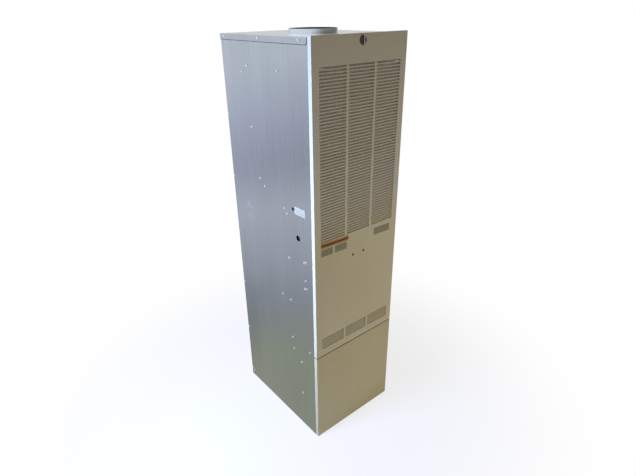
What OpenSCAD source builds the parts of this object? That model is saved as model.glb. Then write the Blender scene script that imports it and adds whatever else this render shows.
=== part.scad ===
// Downflow forced-air gas furnace for a closet, in millimetres.
// The origin is the middle of the footprint on the floor. +X is to the right of someone who
// faces the doors, +Y is towards the back and +Z is up. Inside the modules y counts from the
// front face of the doors, and from_face() moves it into place.

/* [Cabinet] */
// Width over the doors
cab_w = 502; // [490:1:530]
// Depth of the cabinet behind the doors
cab_d = 614; // [600:1:660]
// Height of the blower space, from the blower deck to the top of the cap
blower_h = 632; // [622:1:660]
// Thickness of the sheet steel
sheet_t = 1; // [0.8:0.1:1.4]
// Height of the turned-down edge of the top cap
cap_lip = 23; // [18:1:30]
// Radius of the rounded lower front corner of that edge
cap_round = 12; // [6:1:16]
// Gap between that edge and the sides
cap_gap = 1; // [0.5:0.1:2]
// Width of the folded front edge of each side panel
jamb_w = 22; // [18:1:26]
// Depth of the folded edges that join one sheet to the next
flange_w = 18; // [14:1:20]
// Height of the cross rails of the front frame
rail_h = 60; // [50:1:70]
// Height of the upturned edges of the base pan
pan_h = 38; // [30:1:45]
// Side of the square supply-air opening in the base pan
supply_w = 343; // [300:1:360]
// Distance from that opening to the back of the cabinet
supply_back = 60; // [50:1:90]
// Radius of the anchor holes in the base pan
anchor_r = 3.2; // [2.5:0.1:5]
// Distance from the anchor holes to the sides
anchor_side = 30; // [25:1:40]
// Distance from the anchor holes to the front and the back
anchor_end = 45; // [35:1:60]

/* [Levels] */
// Height of the coil shelf, the floor of the burner space
coil_h = 505; // [490:1:515]
// Distance from the air opening in the coil shelf to the sides
shelf_side = 39; // [25:1:60]
// Distance from the back panel of the burner space to that opening
shelf_front = 17.5; // [10:0.5:60]
// Distance from that opening to the back of the cabinet
shelf_back = 37.5; // [30:0.5:60]

/* [Top collar] */
// Outer radius of the collar
collar_r = 93; // [85:0.5:96]
// Height of the collar above the cap
collar_h = 25; // [20:1:35]
// Centre of the collar, from the left edge of the doors
collar_x = 128; // [124:1:132]
// Centre of the collar, from the door face
collar_y = 145; // [143:1:147]
// Width of the collar's foot outside its wall
collar_foot = 5; // [4:0.5:8]
// Height of that foot
foot_h = 7; // [5:0.5:10]

/* [Doors] */
// Distance that the upper door stands above the top cap
door_rise = 6.4; // [3:0.1:12]
// Height of the joint between the doors above the coil shelf
split_up = 11; // [8:1:15]
// Gap between the doors
split_gap = 3; // [2:0.5:5]
// Height of the lower edge of the lower door above the floor
door_foot = 4; // [3:1:8]
// Depth of the doors over their folded edges
door_d = 19.5; // [18:0.1:24]
// Thickness of the foam strip behind the doors
foam_t = 1.5; // [1:0.1:2.5]
// Width of the foam strip
foam_w = 12; // [8:1:12]
// Width of the hem round the inside of each door
hem_w = 9; // [7:1:11]
// Radius of the two peep holes in the upper door
peep_r = 5; // [3:0.5:6]
// Distance between the peep holes
peep_dx = 65; // [50:1:80]
// Distance from the middle of the door to the point between them
peep_x = 4; // [0:0.5:10]
// Height of the peep holes above the burners
peep_up = 314; // [300:1:350]

/* [Louvres] */
// Distance from one louvre to the next
louvre_pitch = 12.7; // [11.7:0.1:14]
// Height of the cut that each louvre fills
louvre_cut = 8.5; // [7.5:0.1:9]
// Height of the slanted blade
blade_rise = 3.8; // [3:0.1:4.5]
// Depth that the blade is pressed in
blade_in = 5; // [3.5:0.1:5.5]
// Width of the plain strip beside the outer columns
louvre_edge = 33.8; // [32:0.1:60]
// Gap between one column of louvres and the next
louvre_gap = 13.2; // [12:0.1:16]
// Distance from the lowest upper louvre up to the blower deck
louvre_drop = 174; // [168:1:178]
// Least distance from the top louvre to the top of the cap
louvre_head = 94; // [90:1:140]
// Number of vents in each lower column
vent_rows = 5; // [3:1:6]
// Height of the lowest vent above the joint between the doors
vent_up = 41; // [36:1:60]

/* [Filters] */
// Number of pleats in each filter
pleats = 20; // [12:1:26]

/* [Latch] */
// Radius of the latch disc
latch_r = 17; // [13:0.5:18]
// Height of the wing on the disc
wing_h = 38; // [24:1:40]
// Distance that the wing stands out of the door
latch_proud = 10; // [8:0.5:14]
// Radius of the latch shaft
latch_shaft_r = 4; // [3.5:0.1:5]
// Radial clearance round turning shafts
run_gap = 0.05; // [0.03:0.01:0.08]
// Length of the cam
cam_l = 28; // [24:1:34]
// Width of the cam
cam_w = 9; // [9:0.5:11]
// Thickness of the cam
cam_t = 2; // [1.5:0.1:3]

/* [Blower] */
// Distance from the vent duct back to the blower housing
blower_front = 26; // [22:1:40]
// Distance from the blower housing back to the back panel
blower_back = 21; // [16:1:40]
// Distance from the wheel to each outer side of the housing
wheel_side = 11; // [9:1:20]
// Number of blades
blades = 40; // [30:1:44]
// Depth of the ring of blades
blade_d = 20; // [16:1:21]
// Outer width of the blower housing
scroll_w = 225; // [223:1:232]
// Distance between the wheel and the housing at the cut-off
cutoff_gap = 9; // [7:1:11]
// Radius that the housing gains on its way round
scroll_gain = 57; // [50:1:60]
// Height of the middle of the wheel above the deck
blower_up = 268; // [260:1:280]
// Radius of the blower shaft
shaft_r = 6.35; // [5:0.05:8]
// Radius of the blower motor
motor_r = 70; // [60:1:72]
// Length of the blower motor
motor_l = 125; // [115:1:140]

/* [Heat exchanger] */
// Outer radius of the heat exchanger tubes
tube_r = 22; // [20:0.5:24]
// Thickness of the tubes and of the flue pipe
tube_t = 1.5; // [1:0.1:2]
// Distance from one pass of a tube to the next
pass_pitch = 123; // [118:1:124]
// Height of the first pass above the coil shelf
burner_up = 185; // [180:1:188]
// Distance from the back bends of the tubes to the heat shield
tube_back = 3.5; // [3:0.5:20]

/* [Inducer] */
// Depth of the collector box behind the inducer
collector_d = 25; // [20:1:30]
// Height of the fan's axle above the ends of the tubes
fan_up = 50; // [45:1:55]
// Height of the outlet of the inducer above the fan's axle
spigot_up = 110; // [100:1:120]
// Height of the round spigot on that outlet
spigot_h = 18; // [14:1:24]
// Height of the flue cone, from the spigot to the blower deck
adapter_h = 55; // [45:1:75]
// Depth of the inducer housing
inducer_d = 60; // [56:1:64]
// Radius of the inducer wheel
fan_r = 55; // [50:1:57]
// Number of blades on the inducer wheel
fan_blades = 10; // [8:1:12]
// Radius of the outlet of the inducer
outlet_r = 30; // [26:1:32]
// Outer radius of the flue pipe
flue_r = 50; // [44:1:55]

/* [Burners and gas] */
// Depth of the burner box
burner_box_d = 76; // [74:1:78]
// Height of the burner box
burner_box_h = 90; // [80:1:96]
// Radius of the throat of a burner
throat_r = 11; // [9:0.5:12]
// Radius of the head of a burner
burner_r = 18; // [16:0.5:20]
// Outer radius of the gas pipes
pipe_r = 10.7; // [9:0.1:11]
// Depth of the gas pipe behind the door face
gas_y = 116; // [114:1:118]
// Distance from the gas entry in the left side up to the blower deck
gas_drop = 178; // [160:1:185]
// Radius of the gas entry
gas_hole_r = 13.5; // [11.5:0.5:14.5]
// Depth of the wiring entry behind the door face
wire_y = 147; // [140:1:155]
// Distance from the wiring entry up to the blower deck
wire_drop = 49; // [40:1:60]
// Radius of the wiring entry
wire_hole_r = 7.5; // [5:0.5:11]

/* [Switches] */
// Travel of the plunger of the door switch
plunger_travel = 5; // [3:0.5:6]
// Radius of that plunger
plunger_r = 4; // [3:0.1:4.5]
// Tilt of the service switch when it is on
rocker_tilt = 8; // [5:1:9]

/* [Screws] */
// Radius of the washer under a screw head
washer_r = 5.2; // [4.5:0.1:6]
// Height of a screw head with its washer
head_h = 3.6; // [3:0.1:4.5]

/* [Hidden] */
$fn = 48;

cut = 1;                                  // how far a cutting shape runs past what it cuts
t = sheet_t;
side_x = cab_w / 2 - t;                   // outer face of a side panel
in_x = side_x - t;                        // inner face of a side panel
front_y = door_d + foam_t;                // front of the cabinet
back_y = front_y + cab_d;                 // back of the cabinet
frame_y = front_y + t;                    // front face of the rails, behind the jambs

// Heights, from the coil shelf up
burner_z = coil_h + burner_up;            // the burners and the first pass of the tubes
outlet_z = burner_z + 3 * pass_pitch;     // the tubes' ends in the collector
fan_z = outlet_z + fan_up;
spigot_z = fan_z + spigot_up;             // top of the inducer's square outlet
deck_h = spigot_z + spigot_h + adapter_h; // underside of the blower deck
deck_z = deck_h + t;                      // top of the blower deck
cab_h = deck_h + blower_h;                // top of the cap
roof_z = cab_h - t;                       // underside of the cap
split_h = coil_h + split_up;              // joint between the doors
door_top = cab_h + door_rise;
peep_h = burner_z + peep_up;
gas_h = deck_h - gas_drop;
wire_h = deck_h - wire_drop;

cam_room = 2;                             // between the cam and the top rail's upper edge
cap_x = side_x + cap_gap + t;             // outer face of the cap's turned-down edge
latch_h = roof_z - t - cam_room - cam_l / 2;
depth_all = latch_proud + back_y + t + head_h;
face_y = latch_proud - depth_all / 2;     // where the door face lies in the model

supply_y = back_y - supply_back - supply_w / 2;
anchor_dx = 2 * (side_x - anchor_side);
anchor_dy = cab_d - 2 * anchor_end;
anchor_y = front_y + cab_d / 2;
duct_x = collar_x - cab_w / 2;            // centre of the collar in the model
duct_r = collar_r + t;                    // outside of the duct, which goes round the collar
duct_lip = 10;                            // how far the deck goes in under the duct
foot_round = 3;                           // rounding of the collar's foot
collar_z0 = roof_z - flange_w / 2;        // lower edge of the collar
flue_drop = 5;                            // from the collar's lower edge down to the end of the flue

vest_y = collar_y + inducer_d / 2 + collector_d;    // back panel of the burner space
shield_off = 12;                          // between the heat shields and the cabinet
shield_y = back_y - shield_off - flange_w;
bend_r = pass_pitch / 2;
bend_back_y = shield_y - tube_back - tube_r - bend_r;
tube_clear = 10;                          // between the front bend and the panel
bend_front_y = vest_y + t + bend_r + tube_r + tube_clear;
valve_w = 70;
valve_side = 14;                          // between the gas valve and the left side
valve_gap = 5;                            // between the gas valve and the burner box
box_end = 10;                             // plain end of the burner box
tube_dx = (in_x - valve_side - valve_w - valve_gap - box_end) / 2;
tube_x = [for (i = [0:3]) (i - 1.5) * tube_dx];

// Inducer: the inlet is beside the middle, so that the outlet stands under the collar
inducer_y1 = collar_y + inducer_d / 2;    // back of the inducer housing
inducer_y0 = collar_y - inducer_d / 2;    // front of the inducer housing
fan_gap = 7;                              // between the fan and its housing at the cut-off
fan_r0 = fan_r + fan_gap;
fan_gain = 31;                            // radius that its housing gains on its way round
fan_r1 = fan_r0 + fan_gain;
fan_x = duct_x - outlet_r + fan_r1;
fan_wall = 2;
collector_w = 4 * tube_dx;
collector_low = 45;
collector_up = 125;
collector_lip = 8;
collector_z0 = outlet_z - collector_low;
collector_z1 = outlet_z + collector_up;
fan_inlet_r = 30;
fan_shaft_r = 4;

// Burners, manifold and gas valve
box_y = vest_y - burner_box_d;            // front plate of the burner box
box_w = 4 * tube_dx + 2 * box_end;
bell_l = 18;                              // length of the bell mouth of a burner
manifold_gap = 26;                        // between the bell mouths and the manifold's middle
manifold_y = box_y - bell_l - manifold_gap;
manifold_end = 30;                        // from the last orifice to the manifold's end
orifice_boss = 2;                         // seat of each orifice on the manifold
valve_h = 100;
valve_front = 25;
valve_back = 19;
valve_low = 40;
valve_y0 = manifold_y - valve_front;
valve_y1 = gas_y + valve_back;
valve_x = -in_x + valve_side + valve_w / 2;         // middle of the gas valve
valve_z0 = burner_z - valve_low;
valve_z1 = valve_z0 + valve_h;
valve_boss = 12;
pipe_t = 2.8;
elbow_r = 25;
pipe_end = 8;                             // between the gas pipe's end and the left side
knob_up = 66;
knob_z = valve_z0 + knob_up;
knob_r = 15;
knob_l = 14;
knob_gap = 0.5;                           // between the knob and its seat
knob_seat = 4;
knob_pin_r = 3;
knob_pin_l = 10;
sight_r = 9;
roll_x = tube_x[2];                       // middle of the roll-out switch
roll_z = burner_z + burner_box_h / 2;
reset_r = 2.5;
reset_travel = 1.5;

// Pressure switch and its hose
port_r = 3;
hose_r = 5;
hose_in = 15;
hose_low = 35;
hose_y = inducer_y1 - hose_in;
hose_z = fan_z - hose_low;
hose_bend = 25;
tap_l = 24;                               // length of the tap on the inducer housing
press_side = 48;
press_up = 70;
press_x = in_x - press_side;
press_z = outlet_z + press_up;
press_r = 32;
port_l = 26;                              // from the middle of the switch to its port's end
port_in = 10;                             // length of that port inside the hose
limit_side = 80;
limit_low = 100;

// Control box and its switches, on the right of the burner space
box_side = 14;
control_w = 195;
control_d = 60;
control_low = 65;                         // from the burner box up to the control box
control_high = 29;                        // from the control box up to the collector
box_x1 = in_x - box_side;
box_x0 = box_x1 - control_w;
control_z0 = burner_z + burner_box_h / 2 + control_low;
control_z1 = collector_z0 - control_high;
control_y = vest_y - control_d;           // front of the control box
plate_y = 34;                             // front of the plate that carries the switches
plate_w = 62;
plate_low = 24;                           // from the service switch down to the plate's edge
switch_side = 30;
switch_drop = 32;
switch_dz = 48;                           // from one switch to the other
switch_x = box_x1 - switch_side;
door_switch_z = control_z1 - switch_drop;
service_z = door_switch_z - switch_dz;
pivot_in = 4;
pivot_y = plate_y + pivot_in;             // depth of the rocker's pivots
tab_d = 22;                               // depth of the tab on the door that presses the plunger
rocker_w = 12;
rocker_h = 22;
rocker_gap = 0.6;
pivot_r = 1.5;
pivot_l = 0.8;                            // length of each pivot in the wall of the switch

// Blower
blower_z = deck_z + blower_up;
housing_y1 = back_y - t - blower_back;
housing_d = housing_y1 - collar_y - duct_r - blower_front;
wheel_r = housing_d / 2 - cutoff_gap - scroll_gain * 2 / 3;
wheel_w = scroll_w - 2 * wheel_side;
scroll_r0 = wheel_r + cutoff_gap;
scroll_r1 = scroll_r0 + scroll_gain;
blower_y = housing_y1 - scroll_r1;        // middle of the wheel
inlet_in = 6;                             // from the inlet rings out to the blades
inlet_r = wheel_r - blade_d - inlet_in;   // inside of the inlet rings
bell_r = 12;                              // radius of their turned-in edge
disc_t = 2;
hub_r = 20;
motor_x0 = 22;
can_r = 22;                               // capacitor
can_h = 72;
can_back = 60;                            // from the middle of the wheel back to it
can_low = 200;                            // from the middle of the wheel down to its foot

// Louvres and filters
louvre_w = (cab_w - 2 * louvre_edge - 2 * louvre_gap) / 3;
louvre_dx = louvre_w + louvre_gap;
louvre_h = deck_h - louvre_drop;          // foot of the lowest upper louvre
louvre_rows = floor((cab_h - louvre_head - louvre_h) / louvre_pitch);
louvre_top = louvre_h + louvre_rows * louvre_pitch;
vent_h = split_h + vent_up;
rack_low = 14;
rack_high = 6;
rack_z0 = louvre_h - rack_low;
rack_z1 = louvre_top + rack_high;
filter_off = 2;                           // between the louvres and the filters
filter_y = t + blade_in + filter_off;
filter_gap = 1;
rack_y = frame_y - filter_gap - t;        // back of the filters, just in front of the frame
rack_x = louvre_dx + louvre_w / 2 + filter_gap;     // inner face of the strips at the sides
rack_flange = 16;
rack_hook = 10;
filter_w = 2 * (rack_x - filter_gap);
filter_h = (rack_z1 - rack_z0 - t - filter_gap) / 2;

steel = "silver";
galvanised = [0.68, 0.71, 0.74];
paint = [0.86, 0.84, 0.78];
dark = [0.2, 0.2, 0.21];
aluminised = [0.62, 0.62, 0.6];

// ---------- helpers ----------

module from_face() translate([0, face_y, 0]) children();

module block(x0, x1, y0, y1, z0, z1)
    translate([x0, y0, z0]) cube([x1 - x0, y1 - y0, z1 - z0]);

// Draws a profile of y and z along x
module along_x(x0, x1)
    translate([x0, 0, 0]) rotate([90, 0, 90]) linear_extrude(x1 - x0) children();

// Draws a profile of x and z along y
module along_y(y0, y1)
    translate([0, y1, 0]) rotate([90, 0, 0]) linear_extrude(y1 - y0) children();

// Draws a profile of x and y along z
module along_z(z0, z1) translate([0, 0, z0]) linear_extrude(z1 - z0) children();

module area(a0, a1, b0, b1) translate([a0, b0]) square([a1 - a0, b1 - b0]);

module rod_x(x0, x1, y, z, r) translate([x0, y, z]) rotate([0, 90, 0]) cylinder(h = x1 - x0, r = r);
module rod_y(x, y0, y1, z, r) translate([x, y1, z]) rotate([90, 0, 0]) cylinder(h = y1 - y0, r = r);
module rod_z(x, y, z0, z1, r) translate([x, y, z0]) cylinder(h = z1 - z0, r = r);

// Turns a profile of radius and distance round a line along y
module turned_y(x, y, z)
    translate([x, y, z]) rotate([-90, 0, 0]) rotate_extrude() children();

// Turns a profile of radius and distance round a line along x
module turned_x(x, y, z)
    translate([x, y, z]) rotate([0, 90, 0]) rotate_extrude() children();

module pipe_ring(r, wall) difference() {
    circle(r);
    circle(r - wall);
}

// Outline of a level sheet, from y0 to the back panel, notched for the back panel's edges
module level_sheet(y0) difference() {
    area(-in_x, in_x, y0, back_y - t);
    for (s = [-1, 1])
        area(s * in_x - t, s * in_x + t, back_y - flange_w, back_y);
}

// Points of a volute about the origin that gains radius clockwise, seen with u to the right
function volute(r0, r1, a0, a1, n) =
    [for (i = [0:n]) let (k = i / n, a = a0 + k * (a1 - a0), r = r0 + k * (r1 - r0))
        [r * cos(a), r * sin(a)]];

// ---------- cabinet ----------

module side_panel() along_z(t, roof_z) {
    area(in_x, side_x, front_y, back_y);
    area(side_x - jamb_w, side_x, front_y, front_y + t);
}

module left_side() color(galvanised) from_face() difference() {
    mirror([1, 0, 0]) side_panel();
    rod_x(-side_x - cut, -in_x + cut, gas_y, gas_h, gas_hole_r);
    rod_x(-side_x - cut, -in_x + cut, wire_y, wire_h, wire_hole_r);
}

module right_side() color(galvanised) from_face() side_panel();

module back_panel() color(galvanised) from_face() difference() {
    block(-in_x, in_x, back_y - flange_w, back_y, t, roof_z);
    block(-in_x + t, in_x - t, back_y - flange_w - cut, back_y - t, 0, cab_h);
}

// Turned-down edge of the cap, with a rounded lower front corner
module cap_edge() {
    y0 = front_y + 2;
    z0 = cab_h - cap_lip;
    area(y0 + cap_round, back_y + t, z0, cab_h);
    area(y0, back_y, z0 + cap_round, cab_h);
    translate([y0 + cap_round, z0 + cap_round]) circle(cap_round);
}

module top_panel() color(galvanised) from_face() {
    difference() {
        block(t - cap_x, cap_x - t, front_y, back_y + t, roof_z, cab_h);
        rod_z(duct_x, collar_y, roof_z - cut, cab_h + cut, collar_r);
    }
    for (s = [0, 1])
        mirror([s, 0, 0]) along_x(cap_x - t, cap_x) cap_edge();
    block(t - cap_x, cap_x - t, back_y, back_y + t, cab_h - cap_lip, roof_z);
}

module top_collar() color(galvanised) from_face() translate([duct_x, collar_y, 0])
    rotate_extrude() {
        area(collar_r - t, collar_r, collar_z0, cab_h + collar_h);
        area(collar_r - t, collar_r + collar_foot - foot_round, cab_h, cab_h + foot_h);
        area(collar_r - t, collar_r + collar_foot, cab_h, cab_h + foot_h - foot_round);
        translate([collar_r + collar_foot - foot_round, cab_h + foot_h - foot_round])
            circle(foot_round);
    }

module base_pan() color(galvanised) from_face() {
    w = supply_w / 2;
    difference() {
        union() {
            block(-side_x, side_x, front_y, back_y, 0, t);
            block(-w - t, w + t, supply_y - w - t, supply_y + w + t, 0, pan_h / 2);
        }
        block(-w, w, supply_y - w, supply_y + w, -cut, pan_h);
        for (x = [-1, 1], y = [-1, 1])
            rod_z(x * anchor_dx / 2, anchor_y + y * anchor_dy / 2, -cut, t + cut, anchor_r);
    }
    for (s = [0, 1])
        mirror([s, 0, 0]) block(in_x - t, in_x, frame_y + t, back_y - flange_w - t, t, pan_h);
    block(-in_x, in_x, frame_y, frame_y + t, t, pan_h);
}

module coil_shelf() color(galvanised) from_face() {
    along_z(coil_h, coil_h + t) difference() {
        level_sheet(frame_y + t);
        area(shelf_side - in_x, in_x - shelf_side, vest_y + shelf_front, back_y - shelf_back);
    }
    for (s = [0, 1])
        mirror([s, 0, 0]) block(in_x - t, in_x, frame_y + flange_w, back_y - flange_w - t,
            coil_h - flange_w, coil_h);
}

// Channel of the front frame: z0 to z1, open to the back
module rail(z0, z1) along_x(-in_x, in_x) {
    area(frame_y, frame_y + t, z0, z1);
    area(frame_y, frame_y + flange_w - 2, z0, z0 + t);
    area(frame_y, frame_y + flange_w - 2, z1 - t, z1);
}

// Way for the cam through the frame and the foam
module cam_slot(y0, y1) block(-cam_w / 2 - cam_room, cam_w / 2 + cam_room, y0, y1,
    latch_h - cam_l / 2 - cam_room, roof_z - t);

module top_rail() color(galvanised) from_face() difference() {
    rail(roof_z - rail_h, roof_z);
    cam_slot(frame_y - cut, frame_y + t + cut);
}

module mid_rail() color(galvanised) from_face() rail(coil_h - rail_h / 2, coil_h + rail_h / 2);

module vestibule_panel() color(galvanised) from_face() difference() {
    union() {
        block(-in_x, in_x, vest_y, vest_y + t, coil_h + t, deck_h);
        for (s = [0, 1])
            mirror([s, 0, 0]) block(in_x - t, in_x, vest_y - flange_w, vest_y, coil_h + t, deck_h);
        block(-in_x, in_x, vest_y - flange_w, vest_y, coil_h + t, coil_h + 2 * t);
    }
    for (x = tube_x, z = [burner_z, outlet_z])
        rod_y(x, vest_y - cut, vest_y + t + cut, z, tube_r);
}

module blower_deck() color(galvanised) from_face() {
    difference() {
        along_z(deck_h, deck_z) level_sheet(frame_y);
        rod_z(duct_x, collar_y, deck_h - cut, deck_z + cut, duct_r - duct_lip);
        block(-scroll_w / 2 + 8, scroll_w / 2 - 8, blower_y + 8, blower_y + scroll_r1 - 8,
            deck_h - cut, deck_z + cut);
    }
    block(-in_x, in_x, frame_y, frame_y + t, deck_h - rail_h / 2, deck_h);
    for (s = [0, 1])
        mirror([s, 0, 0]) block(in_x - t, in_x, vest_y + flange_w, back_y - flange_w - t,
            deck_h - flange_w, deck_h);
}

// Three sheets that keep the heat off the cabinet
module heat_shield() color(aluminised) from_face() {
    x = in_x - shield_off;
    for (s = [0, 1])
        mirror([s, 0, 0]) block(x - t, x, vest_y + 2 * t, shield_y - 2 * t, coil_h + t, deck_h);
    block(-x, x, shield_y, shield_y + t, coil_h + t, deck_h);
}

// ---------- heat exchanger and flue ----------

module hx_bend(y, z, a) translate([0, y, z]) rotate([90, 0, 90]) rotate([0, 0, a])
    rotate_extrude(angle = 180) translate([bend_r, 0]) pipe_ring(tube_r, tube_t);

module hx_pass(y0, y1, z) along_y(y0, y1) translate([0, z]) pipe_ring(tube_r, tube_t);

// One serpentine tube of four passes, from a burner at the bottom to the collector at the top
module hx_tube(i) color(aluminised) from_face() translate([tube_x[i], 0, burner_z]) {
    hx_pass(vest_y - 3, bend_back_y, 0);
    hx_bend(bend_back_y, bend_r, -90);
    hx_pass(bend_front_y, bend_back_y, pass_pitch);
    hx_bend(bend_front_y, pass_pitch + bend_r, 90);
    hx_pass(bend_front_y, bend_back_y, 2 * pass_pitch);
    hx_bend(bend_back_y, 2 * pass_pitch + bend_r, -90);
    hx_pass(vest_y - 3, bend_back_y, 3 * pass_pitch);
}

module hx_tube_1() hx_tube(0);
module hx_tube_2() hx_tube(1);
module hx_tube_3() hx_tube(2);
module hx_tube_4() hx_tube(3);

module collector_box() color(aluminised) from_face() difference() {
    w = collector_w / 2;
    union() {
        block(-w, w, inducer_y1, vest_y, collector_z0, collector_z1);
        block(-w - collector_lip, w + collector_lip, vest_y - t, vest_y,
            collector_z0 - collector_lip, collector_z1 + collector_lip);
    }
    block(-w + t, w - t, inducer_y1 + t, vest_y + cut, collector_z0 + t, collector_z1 - t);
    rod_y(fan_x, inducer_y1 - cut, inducer_y1 + t + cut, fan_z, fan_inlet_r);
}

// Outline of the inducer housing about the middle of its fan, wall is taken off all round
module fan_outline(wall) {
    x0 = duct_x - outlet_r - fan_x + wall;
    x1 = duct_x + outlet_r - fan_x - wall;
    a0 = acos(x1 / (fan_r0 - wall));
    top = spigot_z - fan_z - wall;
    polygon(concat(
        [[x0, top], [x1, top]],
        volute(fan_r0 - wall, fan_r1 - wall, a0, -180, 36)));
}

module inducer_housing() color(dark) from_face() difference() {
    union() {
        translate([fan_x, 0, fan_z]) along_y(inducer_y0, inducer_y1) fan_outline(0);
        rod_z(duct_x, collar_y, spigot_z, spigot_z + spigot_h, outlet_r - 1);
        rod_x(fan_x + fan_r0, fan_x + fan_r0 + tap_l, hose_y, hose_z, port_r);
    }
    translate([fan_x, 0, fan_z])
        along_y(inducer_y0 + fan_wall, inducer_y1 - fan_wall) fan_outline(fan_wall);
    rod_y(fan_x, inducer_y1 - fan_wall - cut, inducer_y1 + cut, fan_z, fan_inlet_r);
    rod_y(fan_x, inducer_y0 - cut, inducer_y0 + fan_wall + cut, fan_z, fan_shaft_r + 2);
    rod_z(duct_x, collar_y, spigot_z - fan_wall - cut,
        spigot_z + spigot_h + cut, outlet_r - 3);
}

module inducer_motor() color(dark) from_face() translate([fan_x, 0, fan_z]) difference() {
    union() {
        rod_y(0, inducer_y0 - 3, inducer_y0, 0, 40);
        rod_y(0, inducer_y0 - 44, inducer_y0 - 3, 0, 33);
        rod_y(0, inducer_y0 - 52, inducer_y0 - 44, 0, 22);
    }
    rod_y(0, inducer_y0 - 30, inducer_y0 + cut, 0, fan_shaft_r + run_gap);
}

module inducer_wheel() color(steel) from_face() translate([fan_x, 0, fan_z]) {
    y0 = inducer_y0 + fan_wall + 5;
    y1 = inducer_y1 - fan_wall - 8;
    rod_y(0, y0, y0 + 2, 0, fan_r);
    rod_y(0, inducer_y0 - 25, y1, 0, fan_shaft_r);
    rod_y(0, y0, y1, 0, 10);
    along_y(y0, y1) for (i = [0:fan_blades - 1])
        rotate(i * 360 / fan_blades) area(9, fan_r - 1, -1, 1);
}

// Cone from the outlet of the inducer up to the flue pipe, which starts at the deck
module flue_adapter() color(galvanised) from_face() {
    z0 = spigot_z + 2;
    z1 = spigot_z + spigot_h;
    z2 = deck_h - 14;
    translate([duct_x, collar_y, 0]) rotate_extrude() polygon([[outlet_r - 1, z0], [outlet_r + 0.5, z0],
        [outlet_r + 0.5, z1], [flue_r + tube_t, z2], [flue_r + tube_t, deck_h + 20],
        [flue_r, deck_h + 20], [flue_r, z2 + 1], [outlet_r - 1, z1 + 1]]);
}

module flue_pipe() color(galvanised) from_face() translate([duct_x, collar_y, 0])
    along_z(deck_h - 8, collar_z0 - flue_drop) pipe_ring(flue_r, tube_t);

module vent_duct() color(galvanised) from_face() translate([duct_x, collar_y, 0])
    along_z(deck_z, roof_z) pipe_ring(duct_r, t);

// ---------- burners ----------

module burner_box() color(galvanised) from_face() difference() {
    w = box_w / 2;
    z0 = burner_z - burner_box_h / 2;
    z1 = burner_z + burner_box_h / 2;
    block(-w, w, box_y, vest_y, z0, z1);
    block(-w + t, w - t, box_y + t, vest_y + cut, z0 + t, z1 - t);
    for (x = tube_x)
        rod_y(x, box_y - cut, box_y + t + cut, burner_z, throat_r);
    rod_y(0, box_y - cut, box_y + t + cut, burner_z, sight_r);
}

// In-shot burner: bell mouth, throat and head, with a wing on each side that carries the flame over
module burner() {
    wall = 1.2;
    head_y = box_y + 34;
    end_y = vest_y - 9;
    mouth_r = throat_r + 6;
    flare = [for (i = [0:6]) let (a = i * 15) [mouth_r - 6 * sin(a), box_y - 2 - (bell_l - 2) * cos(a)]];
    turned_y(0, 0, 0) polygon(concat(
        flare,
        [[throat_r, box_y - 2], [throat_r, head_y - 18], [burner_r, head_y], [burner_r, end_y],
         [burner_r - wall, end_y], [burner_r - wall, head_y], [throat_r - wall, head_y - 18]],
        [for (i = [6:-1:0]) [flare[i][0] - wall, flare[i][1]]]));
    for (s = [0, 1])
        mirror([s, 0, 0]) block(burner_r - wall / 2, tube_dx / 2 - 0.3, end_y - 14, end_y, -4, 4);
    turned_y(0, 0, 0) area(throat_r - wall / 2, throat_r + 6, box_y - 1.5, box_y);
}

module burners() color(aluminised) from_face() for (x = tube_x)
    translate([x, 0, burner_z]) burner();

module orifices() color("goldenrod") from_face() for (x = tube_x)
    translate([x, manifold_y + pipe_r + orifice_boss, burner_z]) rotate([-90, 0, 0]) difference() {
        union() {
            cylinder(h = 8, r = 6, $fn = 6);
            translate([0, 0, 8]) cylinder(h = 5, r1 = 4.5, r2 = 3);
        }
        translate([0, 0, 1]) cylinder(h = 13, r = 0.9);
    }

module sight_glass() color("lightcyan") from_face() {
    rod_y(0, box_y, box_y + t, burner_z, sight_r);
    rod_y(0, box_y - 2, box_y, burner_z, sight_r + 3);
}

// Ceramic holder on top of the burner box with its electrode over one burner
module electrode(x, base_r) {
    z1 = burner_z + burner_box_h / 2;
    y = vest_y - 26;
    rod_z(x, y, z1, z1 + 16, base_r);
    block(x - base_r - 7, x + base_r + 7, y - base_r, y + base_r, z1, z1 + 2);
    rod_z(x, y, z1 + 16, z1 + 26, 2);
}

module igniter() color("white") from_face() {
    electrode(tube_x[0], 6);
}

module flame_sensor() color("white") from_face() {
    electrode(tube_x[3], 4);
}

// ---------- gas train ----------

module manifold() color(dark) from_face() {
    x0 = valve_x + valve_w / 2 + valve_boss;
    x1 = tube_x[3] + manifold_end;
    difference() {
        union() {
            rod_x(x0, x1, manifold_y, burner_z, pipe_r);
            for (x = tube_x)
                rod_y(x, manifold_y, manifold_y + pipe_r + orifice_boss, burner_z, 7.5);
        }
        rod_x(x0 - cut, x1 - 6, manifold_y, burner_z, pipe_r - pipe_t);
    }
    for (x = [tube_x[0] + tube_dx / 2, tube_x[3] - tube_dx / 2])
        block(x - 8, x + 8, manifold_y, box_y, burner_z + pipe_r - 2, burner_z + pipe_r);
}

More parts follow.
